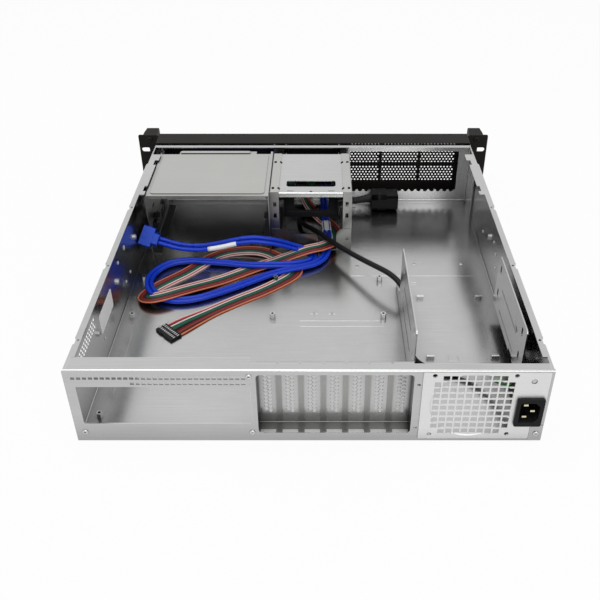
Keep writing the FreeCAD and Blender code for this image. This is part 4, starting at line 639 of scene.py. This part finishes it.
# %% Make the coloured wires
WIRE_COLOURS = [(0.72, 0.20, 0.10), (0.07, 0.022, 0.018), (0.33, 0.035, 0.03),
                (0.16, 0.010, 0.014), (0.012, 0.012, 0.014), (0.012, 0.16, 0.09),
                (0.008, 0.085, 0.05), (0.80, 0.79, 0.75), (0.50, 0.03, 0.04),
                (0.80, 0.62, 0.58)]
WIRE_RADIUS = 0.00095
WIRE_PITCH, FAN_PITCH = 0.0019, 0.0028
FAN_START = 0.93
ribbon_lean = [(0.0, Vector((0, -1, 0.15))), (0.06, Vector((0, -0.3, 1))), (0.1, UP), (1.0, UP)]
ribbon_frames = travelling_frame(lines["ribbon"], ribbon_lean)
ribbon_total = ribbon_frames[-1][0]
bm, run = new_strands()
middle = (len(WIRE_COLOURS) - 1) / 2
for k in range(len(WIRE_COLOURS)):
    offsets = []
    for gone, side, up in ribbon_frames:
        fan = min(max((gone / ribbon_total - FAN_START) / (1.0 - FAN_START), 0.0), 1.0)
        fan = fan * fan * (3 - 2 * fan)
        pitch = WIRE_PITCH + (FAN_PITCH - WIRE_PITCH) * fan
        wander = 0.00025 * math.sin(gone * 31.0 + k * 1.7) * (0.3 + 2.0 * fan)
        offsets.append((k - middle) * pitch + wander)
    add_strand(bm, run, lines["ribbon"], ribbon_frames, offsets, WIRE_RADIUS, 8, k)
jacket("ribbon_wires", WIRE_COLOURS, 0.42)
wire_row = finish_mesh("wire_row", bm, "ribbon_wires", node="panel_ribbon")

# %% [markdown]
# ### The power lead and the earth wire
# The power lead is one round black jacket from the inlet to a moulded plug. The earth
# wire is thin and green with a yellow stripe along it.

# %% Make the power lead and the earth wire
LEAD_UP = Vector((0.3, 0.2, 1))


def round_lead(name, line, radius, sides, finish, node):
    bm, run = new_strands()
    add_strand(bm, run, line, travelling_frame(line, [(0.0, LEAD_UP), (1.0, LEAD_UP)]),
               [0.0] * len(line), radius, sides, 0)
    return finish_mesh(name, bm, finish, node=node)


jacket("cord_black", [(0.006, 0.006, 0.0065)], 0.42, gloss=0.2)
jacket("earth_jacket", [(0.03, 0.24, 0.05), (0.62, 0.52, 0.03)], 0.4)
power_lead = round_lead("power_lead", lines["power"], 0.00325, 16, "cord_black", "power_cord")
earth_lead = round_lead("earth_lead", lines["earth"], 0.0011, 10, "earth_jacket", "earth_wire")

# %% [markdown]

print("four cables made")

# %% [markdown]
# ## Screws
# The case is held by small pan-head screws with a cross-shaped drive. One head is shaped
# with care: a profile is spun round its axis, and a tapered cross is cut out of it. Then
# Geometry Nodes place a copy at each point of a small cloud of points. Each point
# carries the way that its screw faces and its size, and a seed turns each one differently.

# %% Shape one screw
ALONG_X, ALONG_Y = Vector((1, 0, 0)), Vector((0, 1, 0))


def spun(name, profile, sides):
    """A closed round body from (radius, height) pairs, first and last on the axis."""
    bm = bmesh.new()
    rings = [ring_round(bm, UP * height, ALONG_X, ALONG_Y, radius, radius, sides if radius else 1)
             for radius, height in profile]
    for low, high in zip(rings, rings[1:]):
        for k in range(sides):
            n = (k + 1) % sides
            around = [low[k % len(low)], low[n % len(low)], high[n % len(high)],
                      high[k % len(high)]]
            bm.faces.new(list(dict.fromkeys(around)))
    return mesh_object(name, bm)


def prism(bm, *ends):
    """A closed body between two rings of places."""
    join_rings(bm, [[bm.verts.new(place) for place in ring] for ring in ends], smooth=False)


def tapered_cross(name, reach, wide, top, deep):
    """Two crossed wedges that narrow downwards, as a screwdriver's tip does."""
    bm = bmesh.new()
    for turn in (0.0, math.pi / 2):
        spin = Matrix.Rotation(turn, 3, "Z")
        prism(bm, *[[spin @ Vector((x * share, y * share, z)) for x, y in (
            (-reach, -wide), (reach, -wide), (reach, wide), (-reach, wide))]
            for z, share in ((top, 1.15), (deep, 0.55))])
    return mesh_object(name, bm)


def baked(body, name):
    """The shape that a body's modifiers give, as a plain mesh; the body is removed."""
    graph = bpy.context.evaluated_depsgraph_get()
    data = bpy.data.meshes.new_from_object(body.evaluated_get(graph))
    data.name = name
    bpy.data.objects.remove(body)
    return data


def master_copy(name, body, smooth):
    """The plain object that copies are taken from, all smooth or all flat."""
    data = baked(body, name)
    for face in data.polygons:
        face.use_smooth = smooth
    return new_object(name, data)


screw_head = spun("screw_head", [(0, -1.2), (0.5, -1.2), (0.5, 0.0), (1.0, 0.0), (1.0, 0.35),
                                 (0.94, 0.62), (0.78, 0.84), (0.52, 0.96), (0, 1.0)], 20)
cross = tapered_cross("drive_cross", 0.52, 0.13, 1.3, 0.25)
cut = screw_head.modifiers.new("drive", "BOOLEAN")
cut.operation = "DIFFERENCE"
cut.use_self = True
cut.object = cross
screw_master = master_copy("screw_master", screw_head, smooth=False)
bpy.data.objects.remove(cross)
print("one screw:", len(screw_master.data.polygons), "faces")

# %% Node tree that sets copies on points
FULL_TURN = 6.28


def attribute(tree, name):
    """The direction or size that a point carries."""
    return add(tree, "GeometryNodeInputNamedAttribute", {"Name": name},
               data_type="FLOAT_VECTOR").outputs["Attribute"]


def close_tree(tree, last):
    """Give the last node's shape the tree's finish, and hand it out."""
    finished = add(tree, "GeometryNodeSetMaterial", {
        "Geometry": last.outputs[0], "Material": given["Finish"]})
    feed(tree, result, {"Geometry": finished.outputs[0]})
    print("tree:", tree.name)


tree, given, result = new_tree("set_on_points", GEOMETRY, {
    "Geometry": "Geometry", "Copy": "Object", "Turn Seed": 3, "Finish": "Material"}, "Geometry")
copy_of = add(tree, "GeometryNodeObjectInfo", {"Object": given["Copy"]})
faced = add(tree, "FunctionNodeAlignRotationToVector", {"Vector": attribute(tree, "out")},
            axis="Z")
spin = add(tree, "FunctionNodeRandomValue", {2: 0.0, 3: FULL_TURN, "Seed": given["Turn Seed"]})
turned = add(tree, "FunctionNodeAxisAngleToRotation", {
    "Axis": (0, 0, 1), "Angle": spin.outputs[1]})
way = add(tree, "FunctionNodeRotateRotation", {0: faced.outputs[0], 1: turned.outputs[0]},
          rotation_space="LOCAL")
placed = add(tree, "GeometryNodeInstanceOnPoints", {
    "Points": given["Geometry"], "Instance": copy_of.outputs["Geometry"],
    "Rotation": way.outputs[0], "Scale": attribute(tree, "size")})
close_tree(tree, add(tree, "GeometryNodeRealizeInstances", {0: placed.outputs[0]}))

# %% Place the screws
def grow(name, points, tree_name, values, node=None):
    """Run a tree on a cloud of points (place, out, size) and keep the plain mesh."""
    cloud = bpy.data.meshes.new(name + "_points")
    cloud.from_pydata([place for place, out, size in points], [], [])
    for title, which in (("out", 1), ("size", 2)):
        layer = cloud.attributes.new(title, "FLOAT_VECTOR", "POINT")
        for k, point in enumerate(points):
            layer.data[k].vector = point[which]
    seed = new_object(name + "_seed", cloud)
    modifier = seed.modifiers.new("grow", "NODES")
    modifier.node_group = tree = bpy.data.node_groups[tree_name]
    for item in tree.interface.items_tree:
        if item.in_out == "INPUT" and item.name in values:
            modifier[item.identifier] = values[item.name]
    return settle(new_object(name, baked(seed, name)), node)


def islands(node):
    """Boxes of the separate solids in one node's mesh, in the order of its corners."""
    bm = bmesh.new()
    bm.from_mesh(nodes[node].data)
    bmesh.ops.remove_doubles(bm, verts=bm.verts, dist=1e-5)
    met, boxes = set(), []
    for start in bm.verts:
        if start in met:
            continue
        met.add(start)
        found = [start]
        for v in found:
            for neighbour in (edge.other_vert(v) for edge in v.link_edges):
                if neighbour not in met:
                    met.add(neighbour)
                    found.append(neighbour)
        boxes.append([Vector([pick(v.co[i] for v in found) for i in range(3)])
                      for pick in (min, max)])
    bm.free()
    return boxes


def screw_points(node, axis, height):
    """Seats of a node's screws, which face along axis 0, 1 or 2, or outwards along 0."""
    points = []
    for low, high in islands(node):
        sign = -1 if axis == 0 and low.x + high.x < 0 else 1
        place = (low + high) / 2
        place[axis] = (high if sign > 0 else low)[axis] - sign * height
        out = Vector((0, 0, 0))
        out[axis] = sign
        across = 0 if axis else 1
        radius = (high[across] - low[across]) / 2
        points.append((place, out, Vector((radius, radius, height))))
    return points


for node, axis, height in (("slot_screws", 2, 0.0016), ("rear_screws", 1, 0.0014),
                           ("handle_screws", 1, 0.0024), ("ear_screws", 0, 0.0010),
                           ("board_screws", 1, 0.0016), ("bracket_screws", 2, 0.0018)):
    finish = "black_paint" if node == "handle_screws" else "screw_steel"
    grow("dressed_" + node, screw_points(node, axis, height), "set_on_points",
         {"Copy": screw_master, "Turn Seed": 5, "Finish": finishes[finish]}, node)
bpy.data.objects.remove(screw_master)

# %% [markdown]
# ## The vent mesh
# Behind the windows of the front panel lies one sheet of fine punched mesh. Its holes are
# small and round, in staggered rows. The tree sets one six-sided cell with a hole on every
# point of a staggered grid, joins the cells into one sheet and then gives it thickness.

# %% Node tree for punched mesh
MESH_PITCH, SHEET_THICK = 0.0046, 0.0008
WELD = 0.00005
tree, given, result = new_tree("punched_sheet", GEOMETRY, {
    "Geometry": "Geometry", "Cell": "Object", "Columns": 10, "Rows": 10, "Pitch": MESH_PITCH,
    "Thickness": SHEET_THICK, "Middle": "Vector", "Finish": "Material"}, "Geometry")
pitch = given["Pitch"]
row_step = times(tree, pitch, math.sqrt(3) / 2)
wide = times(tree, pitch, math_node(tree, "SUBTRACT", given["Columns"], 1.0))
tall = times(tree, row_step, math_node(tree, "SUBTRACT", given["Rows"], 1.0))
lattice = add(tree, "GeometryNodeMeshGrid", {
    "Size X": wide, "Size Y": tall, "Vertices X": given["Columns"], "Vertices Y": given["Rows"]})
spot = add(tree, "ShaderNodeSeparateXYZ", {
    0: add(tree, "GeometryNodeInputPosition").outputs[0]})
level = plus(tree, spot.outputs["Y"], times(tree, tall, 0.5))
row = math_node(tree, "ROUND", math_node(tree, "DIVIDE", level, row_step))
odd = math_node(tree, "SUBTRACT", math_node(tree, "MODULO", row, 2.0), 0.5)
shift = add(tree, "ShaderNodeCombineXYZ", {"X": times(tree, times(tree, odd, pitch), 0.5)})
staggered = add(tree, "GeometryNodeSetPosition", {
    "Geometry": lattice.outputs["Mesh"], "Offset": shift.outputs[0]})
cell_of = add(tree, "GeometryNodeObjectInfo", {"Object": given["Cell"]})
cell_size = add(tree, "ShaderNodeCombineXYZ", {"X": pitch, "Y": pitch, "Z": 1.0})
tiles = add(tree, "GeometryNodeInstanceOnPoints", {
    "Points": staggered.outputs["Geometry"], "Instance": cell_of.outputs["Geometry"],
    "Scale": cell_size.outputs[0]})
flat = add(tree, "GeometryNodeRealizeInstances", {0: tiles.outputs[0]})
welded = add(tree, "GeometryNodeMergeByDistance", {
    "Geometry": flat.outputs[0], "Distance": WELD})
raised = add(tree, "GeometryNodeExtrudeMesh", {
    "Mesh": welded.outputs[0], "Offset Scale": given["Thickness"], "Individual": False},
    mode="FACES")
back = add(tree, "GeometryNodeFlipFaces", {"Mesh": welded.outputs[0]})
both = add(tree, "GeometryNodeJoinGeometry")
for layer in (raised.outputs["Mesh"], back.outputs[0]):
    tree.links.new(layer, both.inputs[0])
closed = add(tree, "GeometryNodeMergeByDistance", {
    "Geometry": both.outputs[0], "Distance": WELD})
upright = add(tree, "GeometryNodeTransform", {
    "Geometry": closed.outputs[0], "Translation": given["Middle"],
    "Rotation": (math.pi / 2, 0, 0)})
close_tree(tree, upright)

# %% Make the vent mesh
HOLE_SHARE = 0.27
EDGE_STRIP, MARGIN = 0.0042, 0.004
bm = bmesh.new()
rim, hole = [], []
for k in range(12):
    turn = math.pi * k / 6
    corner = 0.5 / math.cos(math.pi / 6) if k % 2 else 0.5
    for ring, reach in ((rim, corner), (hole, HOLE_SHARE)):
        ring.append(bm.verts.new((reach * math.cos(turn), reach * math.sin(turn), 0)))
for k in range(12):
    n = (k + 1) % 12
    bm.faces.new((hole[k], rim[k], rim[n], hole[n]))
mesh_cell = mesh_object("mesh_cell", bm, outward=False)
mesh_low, mesh_high = (Vector(corner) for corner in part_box("vent_mesh"))
rows = round((mesh_high.z - mesh_low.z - MARGIN) / (MESH_PITCH * math.sqrt(3) / 2))
columns = round((mesh_high.x - mesh_low.x - MARGIN) / MESH_PITCH)
grow("punched_vent", [(Vector((0, 0, 0)), UP, Vector((1, 1, 1)))], "punched_sheet",
     {"Cell": mesh_cell, "Columns": columns, "Rows": rows, "Pitch": MESH_PITCH,
      "Thickness": SHEET_THICK, "Middle": ((mesh_low.x + mesh_high.x) / 2, mesh_high.y,
                                           (mesh_low.z + mesh_high.z) / 2),
      "Finish": finishes["black_paint"]}, "vent_mesh")
bpy.data.objects.remove(mesh_cell)


def slab(bm, low, high):
    """A closed box between two corners."""
    for v in bmesh.ops.create_cube(bm, size=1.0)["verts"]:
        v.co = Vector([low[i] if v.co[i] < 0 else high[i] for i in range(3)])


bm = bmesh.new()
front, rear = mesh_high.y - SHEET_THICK - WELD, mesh_high.y + WELD
inner_low, inner_high = mesh_low.z + EDGE_STRIP, mesh_high.z - EDGE_STRIP
slab(bm, (mesh_low.x, front, mesh_low.z), (mesh_high.x, rear, inner_low))
slab(bm, (mesh_low.x, front, inner_high), (mesh_high.x, rear, mesh_high.z))
for left in (mesh_low.x, mesh_high.x - EDGE_STRIP):
    slab(bm, (left, front, inner_low), (left + EDGE_STRIP, rear, inner_high))
finish_mesh("vent_border", bm, "black_paint", node="vent_mesh")

# %% [markdown]
# ## Rivets, tags and pressed marks
# Small things that a plain solid leaves out: domed rivets on the side walls, a blank paper
# tag, blank sleeves on a cable, and the shallow lines that the press left in the floor.

# %% Set the rivets
WALL_INSIDE = 0.2138
rivet_master = master_copy("rivet_master", spun("rivet_head", [
    (0, -0.3), (0.5, -0.3), (0.62, 0.0), (1.0, 0.0), (0.92, 0.45), (0.66, 0.82), (0.3, 1.0),
    (0, 1.05)], 16), smooth=True)
rivets = []
for side, places in ((1, ((237.6, 60.0, 3.2), (246.6, 20.7, 2.0), (224.7, 21.7, 2.2),
                          (206.0, 60.5, 2.2), (120.0, 24.0, 1.6))),
                     (-1, ((248.0, 44.0, 2.0), (262.0, 52.0, 1.8), (240.0, 30.0, 1.6),
                           (322.0, 30.0, 2.0)))):
    for d, z, radius in places:
        rivets.append((from_rear(side * WALL_INSIDE * 1000, d, z), Vector((-side, 0, 0)),
                       Vector((radius, radius, 0.9)) / 1000))
grow("wall_rivets", rivets, "set_on_points", {
    "Copy": rivet_master, "Turn Seed": 2, "Finish": finishes["bright_zinc"]})
bpy.data.objects.remove(rivet_master)

# %% Blank tags
TAG_THICK = 0.0002
TAG_D, TAG_Z = (0.165, 0.114), (0.033, 0.056)
WRAP = PAIR_RADIUS + 0.0003
tree, shader, where = new_material("paper_tag")
fibre = noise(tree, where, 900.0, detail=3.0)
feed(tree, shader, {
    "Base Color": mix_colours(tree, fibre, (0.90, 0.90, 0.89), (0.97, 0.97, 0.96)),
    "Normal": bump(tree, fibre, 0.2, 0.00004), "Roughness": 0.55})
bm = bmesh.new()
slab(bm, (WALL_INSIDE - TAG_THICK, REAR_WALL - TAG_D[0], TAG_Z[0]),
     (WALL_INSIDE, REAR_WALL - TAG_D[1], TAG_Z[1]))
bmesh.ops.bevel(bm, geom=[e for e in bm.edges if abs(e.verts[0].co.x - e.verts[1].co.x) > 1e-6],
                offset=0.0015, segments=3, affect="EDGES")
finish_mesh("wall_tag", bm, "paper_tag")


def at_distance(distance):
    """The place, side and up of the blue pair at a distance along it."""
    for a, b, (g0, *before), (g1, *after) in zip(lines["usb"], lines["usb"][1:], usb_frames,
                                                 usb_frames[1:]):
        if g0 <= distance <= g1:
            share = (distance - g0) / (g1 - g0)
            return [p.lerp(q, share) for p, q in zip((a, *before), (b, *after))]


def sleeve(name, start, end, wide, high, shift, finish):
    """A flat wrap round the blue pair between two distances along it."""
    bm = bmesh.new()
    rings = []
    for step in range(9):
        place, side, up = at_distance(start + (end - start) * step / 8)
        rings.append(ring_round(bm, place + side * shift, side, up, wide, high, 20))
    join_rings(bm, rings)
    finish_mesh(name, bm, finish)


usb_total = usb_frames[-1][0]
sleeve("cable_tag", usb_total - 0.098, usb_total - 0.062, WRAP, WRAP, -PAIR_GAP / 2, "paper_tag")
sleeve("tie_tag", 0.078, 0.100, 0.0060, 0.0030, 0.0, "paper_tag")
sleeve("tie_band", 0.060, 0.063, 0.0062, 0.0034, 0.0, "black_plastic")

# %% Moulded plugs
def rounded_copy(node, name, finish, width):
    """A node's shape with its doubles merged and its edges rounded, as moulded plastic is."""
    bm = bmesh.new()
    bm.from_mesh(nodes[node].data)
    bmesh.ops.remove_doubles(bm, verts=bm.verts, dist=1e-5)
    bmesh.ops.dissolve_limit(bm, angle_limit=math.radians(1), verts=bm.verts, edges=bm.edges)
    sharp = [e for e in bm.edges if len(e.link_faces) == 2 and e.calc_face_angle() > 0.5
             and e.calc_length() > 2.2 * width]
    bmesh.ops.bevel(bm, geom=sharp, offset=width, segments=4, affect="EDGES",
                    clamp_overlap=True, profile=0.5)
    for face in bm.faces:
        face.smooth = True
    piece = finish_mesh(name, bm, finish, node=node)
    weighted = piece.modifiers.new("even_shading", "WEIGHTED_NORMAL")
    weighted.keep_sharp = True


rounded_copy("usb_plug", "moulded_usb_plug", "plug_blue", 0.0011)
rounded_copy("power_plug", "moulded_power_plug", "black_plastic", 0.0014)

# %% Contacts of the small plugs
CONTACTS = 10
CONTACT_HALF = (0.00055, 0.0013)
CONTACT_LIFT = 0.0002
plug_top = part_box("panel_plug")[1][2]
top_spots = [v.co.copy() for v in nodes["panel_plug"].data.vertices if v.co.z > plug_top - 1e-4]
south = min(top_spots, key=lambda spot: spot.y)
east = max(top_spots, key=lambda spot: spot.x)
west = min(top_spots, key=lambda spot: spot.x)
long_side, short_side = sorted((east - south, west - south), key=lambda v: -v.length)
half_long = long_side.normalized() * CONTACT_HALF[0]
half_short = short_side.normalized() * CONTACT_HALF[1]
bm = bmesh.new()
for k in range(CONTACTS):
    for share in (0.25, 0.62):
        middle = south + long_side * ((k + 0.5) / CONTACTS) + short_side * share
        prism(bm, *[[middle + u * half_long + v * half_short + UP * lift
                     for u, v in ((-1, -1), (1, -1), (1, 1), (-1, 1))]
                    for lift in (-CONTACT_LIFT, CONTACT_LIFT)])
finish_mesh("plug_contacts", bm, "screw_steel")

# %% Feet of the slot covers
FOOT_HALF = 0.0072
FOOT_Y, FOOT_Z = (0.2515, 0.2554), (0.0084, 0.0098)
bm = bmesh.new()
for k in range(1, 8):
    cover_low, cover_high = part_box("slot_cover_%d" % k)
    middle = (cover_low[0] + cover_high[0]) / 2
    slab(bm, (middle - FOOT_HALF, FOOT_Y[0], FOOT_Z[0]),
         (middle + FOOT_HALF, FOOT_Y[1], FOOT_Z[1]))
finish_mesh("cover_feet", bm, "bright_zinc")

# %% Pressed lines in the floor
FLOOR_TOP = 1.2  # millimetres
RIDGE_HEIGHT = 0.00012


def pressed_strip(bm, x0, d0, x1, d1, width=0.5):
    """A low ridge on the floor from one place to another, in millimetres."""
    a, b = from_rear(x0, d0, FLOOR_TOP), from_rear(x1, d1, FLOOR_TOP)
    across = (b - a).cross(UP).normalized() * width / 2000
    prism(bm, *[[place + UP * lift for place in (a - half, b - half, b + half, a + half)]
                for half, lift in ((across, 0.0), (across * 0.4, RIDGE_HEIGHT))])


bm = bmesh.new()
for strip in ((12.6, 177.7, -81, 177.7), (12.6, 167.9, -81, 167.9),
              (-6.9, 190.5, 1.1, 190.5), (-2.9, 186.5, -2.9, 194.5),
              (-27.3, 190.5, -19.3, 190.5), (-23.3, 186.5, -23.3, 194.5),
              (-46, 265.7, -204, 265.7), (-118, 248, -125, 248), (-118, 252, -125, 252),
              (-118, 248, -118, 252), (-125, 248, -125, 252),
              (160, 60, 160, 180), (196, 60, 196, 330)):
    pressed_strip(bm, *strip)
for x, d in ((-150, 110), (-190, 110), (-150, 60), (-190, 60)):
    for dx0, dd0, dx1, dd1 in ((-5, 0, 5, 0), (-5, 0, -5, 8), (5, 0, 5, 8)):
        pressed_strip(bm, x + dx0, d + dd0, x + dx1, d + dd1, 0.4)
finish_mesh("floor_marks", bm, "zinc_steel")

# %% [markdown]
# ## Floor and light
# The case stands on a plain pale floor in soft light. The floor looks white to the camera
# but still takes the case's shadow. Metal sees the same white room in its reflections.

# %% Make the floor, the room and the lights
CASE_HALF = (0.214, 0.255)
FLOOR_GLOW = 0.93


def seen_directly(tree):
    """A mask for the camera's own rays, and for those that mirrors and lenses send on."""
    rays = add(tree, "ShaderNodeLightPath").outputs
    seen = math_node(tree, "MAXIMUM", rays["Is Camera Ray"], rays["Is Glossy Ray"])
    return math_node(tree, "MAXIMUM", seen, rays["Is Transmission Ray"])


def mix_shaders(tree, share, first, second, end):
    both = add(tree, "ShaderNodeMixShader", {0: share, 1: first.outputs[0], 2: second.outputs[0]})
    feed(tree, tree.nodes[end], {"Surface": both.outputs[0]})


bm = bmesh.new()
for x, y in ((-6, -6), (6, -6), (6, 6), (-6, 6)):
    bm.verts.new((x, y, case_low[2]))
bm.faces.new(bm.verts)
floor = mesh_object("pale_floor", bm, outward=False)
tree, shader, where = new_material("pale_paper")
feed(tree, shader, {
    "Base Color": mix_colours(tree, noise(tree, where, 300.0), (0.86, 0.86, 0.86),
                              (0.90, 0.90, 0.90)),
    "Roughness": 0.9, "Specular IOR Level": 0.1})
glow = add(tree, "ShaderNodeEmission", {"Color": (1, 1, 1, 1), "Strength": 1.0})
place = add(tree, "ShaderNodeSeparateXYZ", {0: where}).outputs
beside, ahead = [math_node(tree, "GREATER_THAN", math_node(tree, "ABSOLUTE", place[i]),
                           CASE_HALF[i]) for i in (0, 1)]
clear = math_node(tree, "MAXIMUM", beside, ahead)
mix_shaders(tree, times(tree, times(tree, seen_directly(tree), FLOOR_GLOW), clear), shader, glow,
            "Material Output")
floor.data.materials.append(finishes["pale_paper"])

world = bpy.data.worlds.new("white_room")
scene.world = world
world.use_nodes = True
tree = world.node_tree
room, white = [add(tree, "ShaderNodeBackground", {"Color": (1, 1, 1, 1), "Strength": strength})
               for strength in (0.55, 1.0)]
mix_shaders(tree, seen_directly(tree), room, white, "World Output")


def soft_box(name, place, aim, size, watts):
    """A wide lamp that points at a place."""
    data = bpy.data.lights.new(name, "AREA")
    data.shape = "RECTANGLE"
    data.size, data.size_y = size
    data.energy = watts
    lamp = new_object(name, data)
    lamp.location = place
    lamp.rotation_euler = (Vector(aim) - Vector(place)).to_track_quat("-Z", "Y").to_euler()


soft_box("top_box", (0.3, 0.2, 1.9), (0, 0, 0), (1.8, 1.4), 14.0)
soft_box("rear_box", (-0.6, 1.9, 1.1), (0, 0.1, 0.05), (1.4, 1.0), 9.0)
print("floor, room and two lights")
